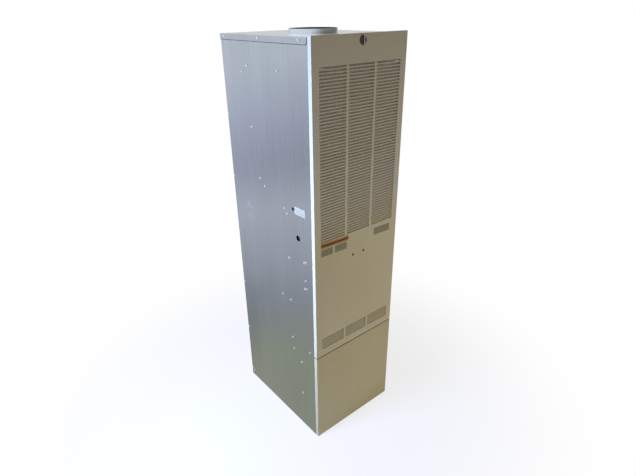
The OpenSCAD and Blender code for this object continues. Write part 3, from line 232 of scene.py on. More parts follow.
class Finish(Nodes):
    """One procedural material: a Principled shader fed by textures in the model's own space."""

    def __init__(self, name, base=(0.5, 0.5, 0.5), metallic=0.0, roughness=0.5):
        self.material = bpy.data.materials.new(name)
        self.material.use_nodes = True
        super().__init__(self.material.node_tree)
        self.shader = next(n for n in self.nodes if n.type == "BSDF_PRINCIPLED")
        self.place = self.nodes.new("ShaderNodeTexCoord").outputs["Object"]
        self.material.diffuse_color = (*base, 1.0)
        self.set("Base Color", (*base, 1.0))
        self.set("Metallic", metallic)
        self.set("Roughness", roughness)

    def set(self, socket, value):
        self.shader.inputs[socket].default_value = value
        return self

    def stretched(self, scale):
        """The model's coordinates, scaled along each axis."""
        node = self.nodes.new("ShaderNodeMapping")
        node.inputs["Scale"].default_value = scale
        self.links.new(self.place, node.inputs["Vector"])
        return node.outputs["Vector"]

    def noise(self, scale, stretch=(1, 1, 1), detail=3.0, distortion=0.0):
        node = self.nodes.new("ShaderNodeTexNoise")
        node.inputs["Scale"].default_value = scale
        node.inputs["Detail"].default_value = detail
        node.inputs["Roughness"].default_value = NOISE_ROUGHNESS
        node.inputs["Distortion"].default_value = distortion
        self.links.new(self.stretched(stretch), node.inputs["Vector"])
        return node.outputs["Fac"]

    def cells(self, scale, stretch=(1, 1, 1), output="Distance"):
        node = self.nodes.new("ShaderNodeTexVoronoi")
        node.inputs["Scale"].default_value = scale
        self.links.new(self.stretched(stretch), node.inputs["Vector"])
        return node.outputs[output]

    def height(self, axis="Z"):
        return self.axis(self.place, axis)

    def nearness(self, centre, size):
        """1 at a point of the model and 0 beyond an ellipsoid of that half size round it."""
        offset = self.vector("SUBTRACT", self.place, centre)
        far = self.vector("LENGTH", self.vector("DIVIDE", offset, size), output="Value")
        return self.spread(far, 1.0, 0.0, smooth=True)

    def paint(self, socket, output):
        self.links.new(output, self.shader.inputs[socket])
        return self

    def painted(self):
        """What feeds the base colour so far."""
        return self.shader.inputs["Base Color"].links[0].from_socket

    def mottle(self, value, low, high, dark, light):
        """Lets a texture's value from low to high carry the base colour from one shade to another."""
        return self.paint("Base Color", self.between(self.spread(value, low, high), dark, light))

    def rub(self, value, low, high, smooth, dull):
        """Lets a texture's value from low to high carry the roughness from smooth to dull."""
        return self.paint("Roughness", self.spread(value, low, high, smooth, dull))

    def relief(self, height, depth, strength=1.0):
        """Bumps the surface by a height of 0..1 times depth in metres."""
        node = self.nodes.new("ShaderNodeBump")
        node.inputs["Strength"].default_value = strength
        node.inputs["Distance"].default_value = depth
        last = self.shader.inputs["Normal"]
        if last.is_linked:
            self.links.new(last.links[0].from_socket, node.inputs["Normal"])
        self.links.new(height, node.inputs["Height"])
        self.links.new(node.outputs["Normal"], last)
        return self

    def soft_edges(self, radius):
        """Rounds the look of sharp folds."""
        node = self.nodes.new("ShaderNodeBevel")
        node.samples = 4
        node.inputs["Radius"].default_value = radius
        self.links.new(node.outputs["Normal"], self.shader.inputs["Normal"])
        return self


def shade(colour_value, factor):
    """A colour made darker or lighter."""
    return tuple(min(1.0, c * factor) for c in tuple(colour_value)[:3])


def zinc_finish(name, light, dark, spangle, rough=(0.15, 0.20)):
    """Galvanised sheet: crystals, rolled streaks and dull patches."""
    f = Finish(name, shade(light, 0.9), metallic=1.0, roughness=0.42)
    f.soft_edges(0.0007)
    crystal = f.cells(1.0 / spangle, output="Color")
    grain = f.nodes.new("ShaderNodeSeparateColor")
    f.links.new(crystal, grain.inputs[0])
    streak = f.noise(26, stretch=(1, 1, 0.05), detail=4)
    broad = f.noise(5.5, stretch=(1, 1, 0.22), detail=2)
    cloud = f.noise(2.3, detail=3)
    fine = f.noise(120, stretch=(1, 1, 0.015), detail=2)
    share = f.math("MULTIPLY_ADD", f.spread(streak, 0.3, 0.7), 0.25,
                   f.math("MULTIPLY_ADD", f.spread(broad, 0.3, 0.7), 0.25,
                          f.math("MULTIPLY_ADD", f.spread(fine, 0.3, 0.7), 0.28,
                                 f.math("MULTIPLY", grain.outputs[0], 0.05))))
    tone = f.between(f.math("ADD", share, 0.0, clamp=True), dark, light)
    dull = shade((light[0] * 1.05, light[1], light[2] * 0.9), 0.92)
    warm = f.between(f.spread(cloud, 0.45, 0.75), tone, dull)
    f.paint("Base Color", f.between(0.35, tone, warm))
    f.paint("Roughness", f.math("MULTIPLY_ADD", grain.outputs[1], 0.02, f.spread(streak, 0.2, 0.8, *rough)))
    f.relief(f.noise(1.1, stretch=(1, 1, 0.5), detail=1), 0.006, 0.12)
    f.relief(f.cells(1.0 / spangle), 0.0002, 0.03)
    return f


def left_side_finish(light, dark, spangle):
    """The zinc of the left side, with the dents it got in handling and a painted highlight over them."""
    f = zinc_finish("galvanised_left_side", light, dark, spangle)
    patch = Vector((SIDE_FACE, DOOR_FACE + DENTS_Y, DENTS_Z))
    for y, z, half_y, half_z in ((0.004, 0.035, 0.020, 0.030), (0.017, -0.002, 0.016, 0.020),
                                 (-0.005, -0.025, 0.018, 0.028)):
        f.relief(f.nearness(patch + Vector((0, y, z)), (0.02, half_y, half_z)), 0.0016, -0.8)
    # painted highlight: the zinc is lightened in patches round the dents
    near = f.nearness(patch, (0.03, 0.045, 0.075))
    dent_highlight = f.math("MULTIPLY", near, f.spread(f.noise(42, detail=5), 0.45, 0.7))
    f.paint("Base Color", f.between(f.math("MULTIPLY", dent_highlight, 0.8), f.painted(), (0.86, 0.88, 0.92)))
    return f


def collar_finish(light, dark, spangle):
    """The zinc of the vent collar, with painted shade inside it and a painted highlight where its foot is
    folded.
    """
    f = zinc_finish("galvanised_collar", light, dark, spangle, (0.30, 0.38))
    middle = sum(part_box("top_collar"), Vector()) / 2
    middle.z = 0
    radius = f.vector("DISTANCE", f.vector("MULTIPLY", f.place, (1, 1, 0)), middle, output="Value")
    # painted shade inside the collar
    inside = f.spread(radius, COLLAR_R - 0.0002, COLLAR_R - 0.0006)
    # painted highlight on the folded foot
    foot = f.spread(f.height(), CAP_TOP + 0.0045, CAP_TOP + 0.002)
    tone = f.between(foot, f.painted(), (0.95, 0.96, 0.98))
    f.paint("Base Color", f.between(inside, tone, (0.05, 0.05, 0.052)))
    return f


def enamel_finish(name, base):
    """Baked enamel with a fine orange peel and greyer above; painted shade in patches towards the floor,
    round the peep holes and along the joint between the doors, and painted light on the louvre blades.
    """
    f = Finish(name, base, roughness=0.34)
    f.soft_edges(0.0009)
    f.set("Coat Weight", 0.12).set("Coat Roughness", 0.2)
    cloud = f.noise(3.1, detail=3)
    # painted shade: the enamel darkens in patches over its lowest 0.35 m, where less light reaches
    painted_floor_shade = f.math("MULTIPLY", f.spread(f.height(), 0.35, 0.0), f.spread(f.noise(24, detail=5), 0.35, 0.75))
    tone = f.between(f.spread(cloud, 0.3, 0.7), shade(base, 0.97), shade(base, 1.03))
    tone = f.between(f.math("MULTIPLY", painted_floor_shade, 0.35), tone, shade(base, 0.8))
    greyer_above = f.spread(f.height(), *GREYER_Z, smooth=True)
    tone = f.between(greyer_above, tone, (base[0] * 1.03, base[1] * 1.08, base[2] * 1.42))
    # painted light on the louvre blades, which lie in the shade of the slots
    tone = f.between(louvre_painted_light(f), tone, (0.80, 0.74, 0.68))
    # painted shade round the peep holes and along the joint between the doors
    f.paint("Base Color", f.between(f.math("MAXIMUM", peep_hole_shade(f), joint_shade(f)), tone, (0.035, 0.03, 0.02)))
    f.rub(f.noise(60, detail=2), 0.3, 0.7, 0.3, 0.38)
    f.relief(f.noise(420, detail=1), 0.00012, 0.22)
    f.relief(f.noise(1.7, stretch=(1, 1, 0.6), detail=1), 0.005, 0.06)
    return f


def peep_hole_shade(f):
    """Share of painted shade round the two peep holes of the upper door."""
    return f.math("MAXIMUM", *(f.nearness((x, DOOR_FACE, PEEP_Z), (0.010, 0.006, 0.010)) for x in PEEP_X))


def joint_shade(f):
    """Share of painted shade on the edges of the doors along the joint between them."""
    away = f.math("ABSOLUTE", f.math("SUBTRACT", f.height("Z"), SPLIT_Z))
    return f.spread(away, SPLIT_GAP / 2 + 0.0022, SPLIT_GAP / 2, 0.0, 0.75)


def louvre_painted_light(f):
    """Share of painted light, pale and patchy: on the blades behind the door's face, away from its turned
    edges.
    """
    deep = f.spread(f.height("Y"), DOOR_FACE + 0.0015, DOOR_FACE + 0.005)
    left = f.spread(f.height("X"), DOOR_LEFT + 0.022, DOOR_LEFT + 0.030)
    right = f.spread(f.height("X"), -DOOR_LEFT - 0.022, -DOOR_LEFT - 0.030)
    below = f.spread(f.height("Z"), CAP_TOP - 0.06, CAP_TOP - 0.08)
    inside = f.math("MULTIPLY", f.math("MULTIPLY", left, right), below)
    patchy = f.spread(f.noise(30, stretch=(1, 1, 3), detail=3), 0.25, 0.6, 0.7, 1.0)
    return f.math("MULTIPLY", f.math("MULTIPLY", deep, inside), patchy)


def dull_steel(name, base, streaks=30, rough=(0.42, 0.6), metallic=1.0):
    """Aluminised or bare pressed steel."""
    f = Finish(name, base, metallic=metallic, roughness=0.5)
    f.soft_edges(0.0005)
    f.mottle(f.noise(streaks, detail=4), 0.3, 0.7, shade(base, 0.86), shade(base, 1.08))
    f.rub(f.noise(streaks * 3, detail=3), 0.25, 0.75, *rough)
    f.relief(f.noise(600, detail=2), 0.00008, 0.25)
    return f


def cast_finish(name, base):
    """Sand-cast or die-cast metal with a grainy skin."""
    f = Finish(name, base, metallic=1.0, roughness=0.5)
    f.soft_edges(0.0008)
    f.mottle(f.noise(38, detail=4), 0.3, 0.7, shade(base, 0.85), shade(base, 1.1))
    f.rub(f.noise(90), 0.3, 0.7, 0.42, 0.6)
    f.relief(f.noise(900, detail=3), 0.00025, 0.35)
    return f


def black_paint(name, base, rough=0.45):
    """Brushed-on or dipped black paint with worn, dusty spots."""
    f = Finish(name, base, roughness=rough)
    f.soft_edges(0.0006)
    wear = f.spread(f.noise(55, detail=6), 0.52, 0.75)
    f.paint("Base Color", f.between(f.math("MULTIPLY", wear, 0.4), base, (0.22, 0.21, 0.2)))
    f.rub(f.noise(34), 0.3, 0.7, rough - 0.08, rough + 0.12)
    f.relief(f.noise(500, detail=2), 0.0001, 0.3)
    return f


def moulded(name, base, rough=0.42):
    """Moulded plastic with a fine grain."""
    f = Finish(name, base, roughness=rough)
    f.soft_edges(0.0004)
    f.mottle(f.noise(20), 0.3, 0.7, shade(base, 0.92), shade(base, 1.06))
    f.rub(f.noise(150), 0.3, 0.7, rough - 0.05, rough + 0.08)
    f.relief(f.noise(1400, detail=2), 0.00006, 0.35)
    return f


def wound_copper(name, base):
    """Laminated core with varnished windings."""
    f = Finish(name, base, metallic=0.85, roughness=0.4)
    wave = f.nodes.new("ShaderNodeTexWave")
    wave.bands_direction = "Y"
    wave.inputs["Scale"].default_value = 320
    wave.inputs["Distortion"].default_value = 0.3
    f.links.new(f.place, wave.inputs["Vector"])
    layers = wave.outputs["Fac"]
    f.paint("Base Color", f.between(layers, shade(base, 0.55), shade(base, 1.15)))
    f.rub(f.noise(80), 0.3, 0.7, 0.32, 0.5)
    f.relief(layers, 0.00025, 0.5)
    return f


def circuit_lacquer(name, base):
    """Lacquered board with tracks under the green."""
    f = Finish(name, base, roughness=0.3)
    tracks = f.spread(f.cells(140, stretch=(1, 1, 2.5)), 0.28, 0.36)
    f.paint("Base Color", f.between(tracks, shade(base, 1.7), base))
    f.rub(f.noise(60), 0.3, 0.7, 0.26, 0.4)
    f.relief(tracks, 0.0001, 0.4)
    return f


def rubber_finish(name, base, pores=260):
    """Soft rubber or closed-cell foam."""
    f = Finish(name, base, roughness=0.82)
    f.mottle(f.noise(45, detail=4), 0.3, 0.7, shade(base, 0.75), shade(base, 1.4))
    f.rub(f.noise(70), 0.3, 0.7, 0.74, 0.92)
    f.relief(f.cells(pores), 0.0005, 0.45)
    return f


def filter_cloth_finish(name, base):
    """Spun filter cloth with loose fibres."""
    f = Finish(name, base, roughness=0.95)
    fibres = f.noise(700, stretch=(1, 1, 0.25), detail=5, distortion=1.5)
    f.mottle(fibres, 0.3, 0.7, shade(base, 0.72), shade(base, 1.25))
    f.rub(fibres, 0.3, 0.7, 0.85, 1.0)
    f.relief(fibres, 0.0005, 0.6)
    return f


def bright_plate(name, base):
    """Bright plated steel with fine turning lines and finger wear."""
    f = Finish(name, base, metallic=1.0, roughness=0.18)
    f.soft_edges(0.0007)
    f.mottle(f.noise(70, detail=4), 0.35, 0.75, base, shade(base, 0.72))
    f.rub(f.noise(130, detail=3), 0.25, 0.75, 0.12, 0.32)
    f.relief(f.noise(300, detail=2), 0.00006, 0.3)
    return f


def latch_finish(bright, painted_shade_tone):
    """Plated latch: a painted highlight keeps the front and top of its wing bright, and painted shade darkens
    the rest.
    """
    f = bright_plate("latch_plating", bright)
    low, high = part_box("latch_knob")
    front = f.spread(f.height("Y"), low.y + 0.0022, low.y + 0.0008)
    top = f.spread(f.height("Z"), high.z - 0.0022, high.z - 0.0008)
    f.paint("Base Color", f.between(f.math("MAXIMUM", front, top), painted_shade_tone, f.painted()))
    return f


def ceramic_finish(name, base):
    """Fired ceramic with a few darker specks."""
    f = Finish(name, base, roughness=0.35)
    f.mottle(f.noise(140, detail=4), 0.4, 0.75, base, shade(base, 0.84))
    f.rub(f.noise(90), 0.3, 0.7, 0.28, 0.5)
    f.relief(f.noise(800), 0.00008, 0.3)
    return f


def glass_finish(name):
    """Clear sight glass with a trace of soot."""
    clear, sooty = (0.92, 0.95, 0.96), (0.55, 0.5, 0.45)
    f = Finish(name, clear, roughness=0.08)
    f.set("Transmission Weight", 0.9).set("IOR", 1.47)
    f.mottle(f.noise(120, detail=5), 0.45, 0.8, clear, sooty)
    f.rub(f.noise(200), 0.3, 0.7, 0.05, 0.16)
    f.relief(f.noise(260), 0.00005, 0.2)
    return f


def label_film(name, base, rough=0.5, creases=30, sheen=0.5):
    """Thin printed film: a blank field that follows the enamel under it."""
    f = Finish(name, base, roughness=rough)
    f.set("Coat Weight", 0.2 * sheen).set("Coat Roughness", 0.25).set("Specular IOR Level", sheen)
    f.mottle(f.noise(creases, detail=4), 0.32, 0.72, shade(base, 0.78), shade(base, 1.2))
    f.rub(f.noise(90), 0.3, 0.7, rough - 0.08, rough + 0.1)
    f.relief(f.noise(55, detail=2), 0.0004, 0.25)
    return f


def dress(material, *names):
    """Gives CAD nodes one material."""
    for name in names:
        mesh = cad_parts[name].data
        mesh.materials.clear()
        mesh.materials.append(material)


def smooth_but_folds(mesh, degrees):
    """Smooths round faces and keeps folds sharper than an angle."""
    mesh.shade_smooth()
    mesh.set_sharp_from_angle(angle=math.radians(degrees))


# ---------------------------------------------------------------- mesh building blocks


def new_piece(name, bm, material, body, smooth=False):
    """Turns a bmesh into a piece that rides on a body."""
    mesh = bpy.data.meshes.new(name)
    bmesh.ops.recalc_face_normals(bm, faces=bm.faces)
    bm.to_mesh(mesh)
    bm.free()
    mesh.materials.append(material)
    if smooth:
        smooth_but_folds(mesh, 40)
    piece = bpy.data.objects.new(name, mesh)
    bpy.context.scene.collection.objects.link(piece)
    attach(piece, body)


def film_plate(bm, corner, across, up, thick, outward, bow=0.0):
    """A thin rectangular film with round corners; bow lifts its middle and edges a little."""
    columns, rows = 14, 8
    w, h = across.length, up.length
    a, u, n = across.normalized(), up.normalized(), outward.normalized()
    r = min(w, h) * 0.08

    def spot(i, j, lift):
        s, v = i / columns * w, j / rows * h
        ds, dv = min(s, w - s), min(v, h - v)
        if ds < r and dv < r:
            k = math.hypot(r - ds, r - dv)
            if k > r:
                f = r / k
                s = (r - (r - ds) * f) if s < w / 2 else w - (r - (r - ds) * f)
                v = (r - (r - dv) * f) if v < h / 2 else h - (r - (r - dv) * f)
        wave = bow * (math.sin(7 * i / columns + 2.1 * j / rows) ** 2) * 0.5
        return corner + a * s + u * v + n * (lift + wave * (lift > 0))

    top = [[bm.verts.new(spot(i, j, thick)) for j in range(rows + 1)] for i in range(columns + 1)]
    low = [[bm.verts.new(spot(i, j, FILM_GAP)) for j in range(rows + 1)] for i in range(columns + 1)]
    for i in range(columns):
        for j in range(rows):
            bm.faces.new((top[i][j], top[i + 1][j], top[i + 1][j + 1], top[i][j + 1]))
            bm.faces.new((low[i][j], low[i][j + 1], low[i + 1][j + 1], low[i + 1][j]))
    rim = ([(i, 0) for i in range(columns)] + [(columns, j) for j in range(rows)]
           + [(i, rows) for i in range(columns, 0, -1)] + [(0, j) for j in range(rows, 0, -1)])
    for k, (i, j) in enumerate(rim):
        i2, j2 = rim[(k + 1) % len(rim)]
        bm.faces.new((top[i][j], low[i][j], low[i2][j2], top[i2][j2]))


def pressed_bead(bm, centre, along, outward, half_l, half_w, rise):
    """A long pressed blister that stands out of a sheet."""
    n = 16
    a, o = along.normalized(), outward.normalized()
    s = o.cross(a)
    rings = []
    for level in (0.0, 0.35, 0.65, 0.88, 1.0):
        shrink = math.sqrt(max(0.0, 1 - level ** 2))
        rings.append([
            bm.verts.new(centre + a * math.cos(t) * half_l * (0.15 + 0.85 * shrink)
                         + s * math.sin(t) * half_w * shrink + o * rise * level)
            for t in (2 * math.pi * k / n for k in range(n))
        ] if level < 1 else [bm.verts.new(centre + o * rise)])
    for lower, upper in zip(rings, rings[1:]):
        for k in range(n):
            k2 = (k + 1) % n
            if len(upper) == 1:
                bm.faces.new((lower[k], lower[k2], upper[0]))
            else:
                bm.faces.new((lower[k], lower[k2], upper[k2], upper[k]))
    bm.faces.new(list(reversed(rings[0])))


def on_door(x_mm, z_mm, out_mm=0.0):
    """A point on the door face: x from the left edge of the doors."""
    return Vector((DOOR_LEFT + x_mm * MM, DOOR_FACE - out_mm * MM, z_mm * MM))


def on_left(y_mm, z_mm):
    """A point on the left side: y behind the door face."""
    return Vector((SIDE_FACE, DOOR_FACE + y_mm * MM, z_mm * MM))


# ---------------------------------------------------------------- operators


class FURNACE_OT_stage(bpy.types.Operator):
    """Sets the camera, the pale floor and the soft studio light"""

    bl_idname = "furnace.stage"
    bl_label = "Stage"

    def execute(self, context):
        scene = context.scene
        scene.view_settings.view_transform = "Standard"
        camera_at_eye_height(scene)
        floor = pale_floor(scene.furnace_colours.floor)
        soft_world(scene)
        for lamp in LAMPS:
            window_light(*lamp)
        return {"FINISHED"}


def camera_at_eye_height(scene):
    """The camera of the photograph: where it stands, its turn, tilt and roll, and its lens."""
    level_share = math.cos(CAMERA_PITCH)
    forward = Vector((math.sin(CAMERA_YAW) * level_share, math.cos(CAMERA_YAW) * level_share,
                      math.sin(CAMERA_PITCH)))
    level = forward.cross(Vector((0, 0, 1))).normalized()
    upright = level.cross(forward)
    right = level * math.cos(CAMERA_ROLL) + upright * math.sin(CAMERA_ROLL)
    up = upright * math.cos(CAMERA_ROLL) - level * math.sin(CAMERA_ROLL)
    turn = Matrix((right, up, -forward)).transposed()
    data = bpy.data.cameras.new("camera")
    data.sensor_fit = "HORIZONTAL"
    data.sensor_width = SENSOR_WIDTH
    data.lens = FOCAL_SHARE * SENSOR_WIDTH
    data.clip_start, data.clip_end = 0.05, 60
    camera = bpy.data.objects.new("camera", data)
    camera.matrix_world = Matrix.Translation(CAMERA_PLACE) @ turn.to_4x4()
    scene.collection.objects.link(camera)
    scene.camera = camera


def pale_floor(base):
    """A wide floor that the camera sees fade to white round the object's shadow.

    Shiny surfaces see a painted reflection on it, pale far away and darker near the object like a shadow.
    """
    bm = bmesh.new()
    bmesh.ops.create_grid(bm, x_segments=8, y_segments=8, size=14)
    mesh = bpy.data.meshes.new("floor")
    bm.to_mesh(mesh)
    bm.free()
    f = Finish("floor_white", tuple(base), roughness=0.9)
    f.set("Specular IOR Level", 0.0)
    f.mottle(f.noise(0.8, detail=4), 0.3, 0.7, shade(base, 0.98), tuple(base))
    f.relief(f.noise(35, detail=3), 0.0004, 0.1)
    distance = f.vector("LENGTH", f.place, output="Value")
    mirrored = f.between(floor_sides(f), f.ramp(distance, mirrored_floor(0.0)),
                         f.ramp(distance, mirrored_floor(1.0)))
    path = f.nodes.new("ShaderNodeLightPath").outputs
    glow = f.nodes.new("ShaderNodeEmission")
    glow.inputs["Strength"].default_value = 1.0
    # painted reflection: glossy rays see the floor glow in the mirrored colours
    f.links.new(f.between(path["Is Glossy Ray"], WHITE, mirrored), glow.inputs["Color"])
    near, far = 0.45, 1.7           # between these distances the camera's floor fades to white
    share = f.math("MULTIPLY", path["Is Camera Ray"], f.spread(distance, near, far, 0.78, 1.0, smooth=True))
    share = f.math("MAXIMUM", share, path["Is Glossy Ray"])
    out = next(n for n in f.nodes if n.type == "OUTPUT_MATERIAL")
    f.links.new(f.mix_shader(share, f.shader.outputs[0], glow.outputs[0]), out.inputs["Surface"])
    mesh.materials.append(f.material)
    floor = bpy.data.objects.new("floor", mesh)
    floor.location.z = -0.0005
    bpy.context.scene.collection.objects.link(floor)
    return floor


def mirrored_floor(front):
    """Stops of the floor that shiny surfaces see; with front at 1 those towards the front.

    This painted reflection has a pale band 3 m away and a dull one behind it. Towards the front the near
    floor is paler and the far one duller.
    """
    stops = []
    for distance, level, blue in MIRRORED_FLOOR:
        near, far = max(0.0, 1 - distance / 2), min(1.0, max(0.0, (distance - 3.0) / 2))
        mean = level * (1 + front * (0.60 * near - 0.17 * far))
        red = 3 * mean / (1 + MIRRORED_GREEN + blue)
        stops.append((distance, (red, red * MIRRORED_GREEN, red * blue)))
    return stops


def floor_sides(f):
    """0 towards the back left and 1 from the left to the front."""
    slope = f.math("DIVIDE", f.height("Y"), f.math("ADD", f.math("ABSOLUTE", f.height("X")), 0.01))
    return f.spread(slope, 1.75, 1.0, smooth=True)


def soft_world(scene):
    """Even soft light; the camera and clear rays see a white studio.

    Shiny surfaces see one that is bluer on the left and has a dark corner at the front right.
    """
    world = bpy.data.worlds.new("studio")
    scene.world = world
    world.use_nodes = True
    w = Nodes(world.node_tree)
    w.nodes.clear()

    def background(tint, strength=1.0):
        node = w.nodes.new("ShaderNodeBackground")
        node.inputs["Strength"].default_value = strength
        w.feed(tint, node.inputs["Color"])
        return node.outputs[0]

    place = w.nodes.new("ShaderNodeTexCoord").outputs["Generated"]
    x, y = w.axis(place, "X"), w.axis(place, "Y")
    sides = w.between(w.spread(x, -0.4, 0.3), STUDIO_LEFT, STUDIO_RIGHT)
    mirrored = w.between(w.spread(w.math("SUBTRACT", x, y), 0.2, 1.1), sides, STUDIO_CORNER)
    path = w.nodes.new("ShaderNodeLightPath").outputs
    seen = w.mix_shader(path["Is Glossy Ray"], background(SOFT_TINT, SOFT_STRENGTH), background(mirrored))
    white = background(WHITE)
    for ray in ("Is Transmission Ray", "Is Camera Ray"):
        seen = w.mix_shader(path[ray], seen, white)
    out = w.nodes.new("ShaderNodeOutputWorld")
    w.links.new(seen, out.inputs["Surface"])


def window_light(name, place, aim, size, watts, tint, mirrored):
    """A large soft lamp turned to a point; one that isn't mirrored leaves no image in the zinc."""
    data = bpy.data.lights.new(name, "AREA")
    data.shape = "RECTANGLE"
    data.size, data.size_y = size
    data.energy = watts
    data.color = tint
    lamp = bpy.data.objects.new(name, data)
    lamp.visible_glossy = mirrored
    lamp.location = place
    lamp.rotation_mode = "QUATERNION"
    lamp.rotation_quaternion = (Vector(aim) - Vector(place)).to_track_quat("-Z", "Y")
    bpy.context.scene.collection.objects.link(lamp)


class FURNACE_OT_zinc(bpy.types.Operator):
    """Gives the cabinet its galvanised sheet"""

    bl_idname = "furnace.zinc"
    bl_label = "Galvanised sheet"

    def execute(self, context):
        c, s = context.scene.furnace_colours, context.scene.furnace_sizes
        light, dark = tuple(c.zinc), tuple(c.zinc_dark)
        sheet = zinc_finish("galvanised_sheet", light, dark, s.spangle)
        # painted light: the collar's zinc is the sheet's made 1.6 times lighter
        dress(collar_finish(shade(light, 1.6), shade(dark, 1.6), s.spangle).material, "top_collar")
        dress(sheet.material, "right_side", "back_panel", "base_pan", "coil_shelf", "top_rail",
              "mid_rail", "vestibule_panel", "blower_deck", "flue_adapter", "flue_pipe", "vent_duct",
              "burner_box", "control_box", "blower_housing", "motor_mount", "blower_rails",
              "filter_rack", "latch_cam", "top_panel")
        dress(left_side_finish(light, dark, s.spangle).material, "left_side")
        screws = dull_steel("zinc_plated_screws", (0.92, 0.85, 0.70), 120, (0.36, 0.48), 0.8)
        dress(screws.material, "panel_screws")
        return {"FINISHED"}


class FURNACE_OT_enamel(bpy.types.Operator):
    """Gives the doors their enamel and the latch its plating"""

    bl_idname = "furnace.enamel"
    bl_label = "Door enamel"

    def execute(self, context):
        enamel = tuple(context.scene.furnace_colours.enamel)
        dress(enamel_finish("door_enamel", enamel).material, "upper_door")
        # painted shade: the lower door's enamel is darker and browner than the upper door's
        lower_door_painted_shade = (enamel[0] * 0.91, enamel[1] * 0.88, enamel[2] * 0.78)
        dress(enamel_finish("door_enamel_lower", lower_door_painted_shade).material, "lower_door")
        # the latch's second colour is its painted shade
        dress(latch_finish((0.80, 0.76, 0.72), (0.15, 0.13, 0.11)).material, "latch_knob")
        return {"FINISHED"}


class FURNACE_OT_inner(bpy.types.Operator):
    """Gives the parts inside the cabinet their finishes"""

    bl_idname = "furnace.inner"
    bl_label = "Inner parts"

    def execute(self, context):
        dress(dull_steel("aluminised_steel", (0.50, 0.50, 0.48)).material, "heat_shield", "hx_tube_1",
              "hx_tube_2", "hx_tube_3", "hx_tube_4", "collector_box", "burners", "blower_wheel")
        dress(black_paint("motor_paint", (0.035, 0.036, 0.04)).material, "inducer_housing",
              "inducer_motor", "blower_motor")
        dress(black_paint("black_iron", (0.05, 0.05, 0.052), 0.5).material, "manifold", "gas_pipe")
        dress(cast_finish("valve_casting", (0.58, 0.59, 0.60)).material, "gas_valve", "inducer_wheel")
        dress(dull_steel("capacitor_can", (0.55, 0.56, 0.58), 60).material, "capacitor")
        dress(cast_finish("turned_brass", (0.72, 0.50, 0.21)).material, "orifices")
        dress(wound_copper("transformer_core", (0.42, 0.24, 0.12)).material, "transformer")
        dress(glass_finish("sight_glass_clear").material, "sight_glass")
        dress(ceramic_finish("electrode_ceramic", (0.82, 0.80, 0.75)).material, "igniter", "flame_sensor")
        dress(moulded("black_moulding", (0.022, 0.022, 0.025)).material, "service_switch",
              "service_rocker", "pressure_switch", "limit_switch", "rollout_switch")
        dress(moulded("white_moulding", (0.76, 0.76, 0.73)).material, "door_switch")
        dress(moulded("red_moulding", (0.50, 0.035, 0.025), 0.36).material, "gas_valve_knob",
              "door_plunger", "rollout_reset")
        dress(circuit_lacquer("board_lacquer", (0.025, 0.14, 0.055)).material, "control_board")
        dress(rubber_finish("hose_rubber", (0.03, 0.03, 0.03)).material, "pressure_hose")
        dress(rubber_finish("door_foam_cells", (0.06, 0.06, 0.062), 420).material, "door_foam")
        dress(filter_cloth_finish("filter_cloth", (0.80, 0.73, 0.64)).material, "filters")
        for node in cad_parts.values():
            smooth_but_folds(node.data, 32)
        return {"FINISHED"}


class FURNACE_OT_labels(bpy.types.Operator):
    """Sticks the blank labels on the upper door and the left side"""

    bl_idname = "furnace.labels"
    bl_label = "Blank labels"

    def execute(self, context):
        c, t = context.scene.furnace_colours, context.scene.furnace_sizes.film_t
        dark_orange = (c.strip[0] * 0.26, c.strip[1] * 0.20, c.strip[2] * 0.06)
        strip = label_film("label_strip", tuple(c.strip), sheen=0.12)
        band = label_film("label_band", dark_orange, sheen=0.12)
        grey = label_film("label_film", tuple(c.film), 0.55, 60)
        paper = label_film("sticker_paper", tuple(c.sticker), 0.45, 14)

        tilted_right = Vector((math.cos(LABEL_TILT), 0, math.sin(LABEL_TILT)))
        tilted_up = Vector((-math.sin(LABEL_TILT), 0, math.cos(LABEL_TILT)))
        label = (on_door(*LABEL_CORNER), tilted_right, tilted_up)
        raised = (on_door(*LABEL_CORNER, BAND_OUT), tilted_right, tilted_up)
        field = (on_door(*FIELD_RIGHT_CORNER), tilted_right, tilted_up)
        side = (on_left(*STICKER_CORNER), Vector((0, 1, 0)), Vector((0, 0, 1)))
        front, left = Vector((0, -1, 0)), Vector((-1, 0, 0))
        door, cabinet = ("upper_door", "door_paint"), ("cabinet", "galvanised")
        for name, films, plane, outward, thick, bow, finish, (body, slot) in (
            ("label_strip_left", (STRIP,), label, front, t, 0.0002, strip, door),
            ("label_strip_band", (BAND,), raised, front, t / 2, 0.0, band, door),
            ("label_field_left", FIELDS_LEFT, label, front, t, 0.0002, grey, door),
            ("label_field_right", (FIELD_RIGHT,), field, front, t, 0.0002, grey, door),
            ("side_sticker", (STICKER,), side, left, t, 0.0009, paper, cabinet),
        ):
            corner, across, upward = plane
            bm = bmesh.new()
            for x, z, width, height in films:
                film_plate(bm, corner + (across * x + upward * z) * MM, across * width * MM,
                           upward * height * MM, thick, outward, bow=bow)
            new_piece(name, bm, finish.material, body)
        return {"FINISHED"}


class FURNACE_OT_press_marks(bpy.types.Operator):
    """Presses the small lances into the left side"""

    bl_idname = "furnace.press_marks"
    bl_label = "Press marks"

    def execute(self, context):
        half = context.scene.furnace_sizes.mark_l / 2
        # painted highlight: the press marks are a brighter, warmer zinc than the sheet round them
        zinc = dull_steel("pressed_zinc_painted_highlight", (0.90, 0.84, 0.70), 90, (0.2, 0.32), 0.85)
        slant, out = Vector((0, -0.75, 1)), Vector((-1, 0, 0))
        bm = bmesh.new()
        for y, z, count in PRESS_MARKS:
            for i in range(count):
                place = on_left(y + i * MARK_STEP[0], z + i * MARK_STEP[1])
                pressed_bead(bm, place, slant, out, half, 0.0034, 0.0028)
        new_piece("side_press_marks", bm, zinc.material, "cabinet", smooth=True)
        return {"FINISHED"}


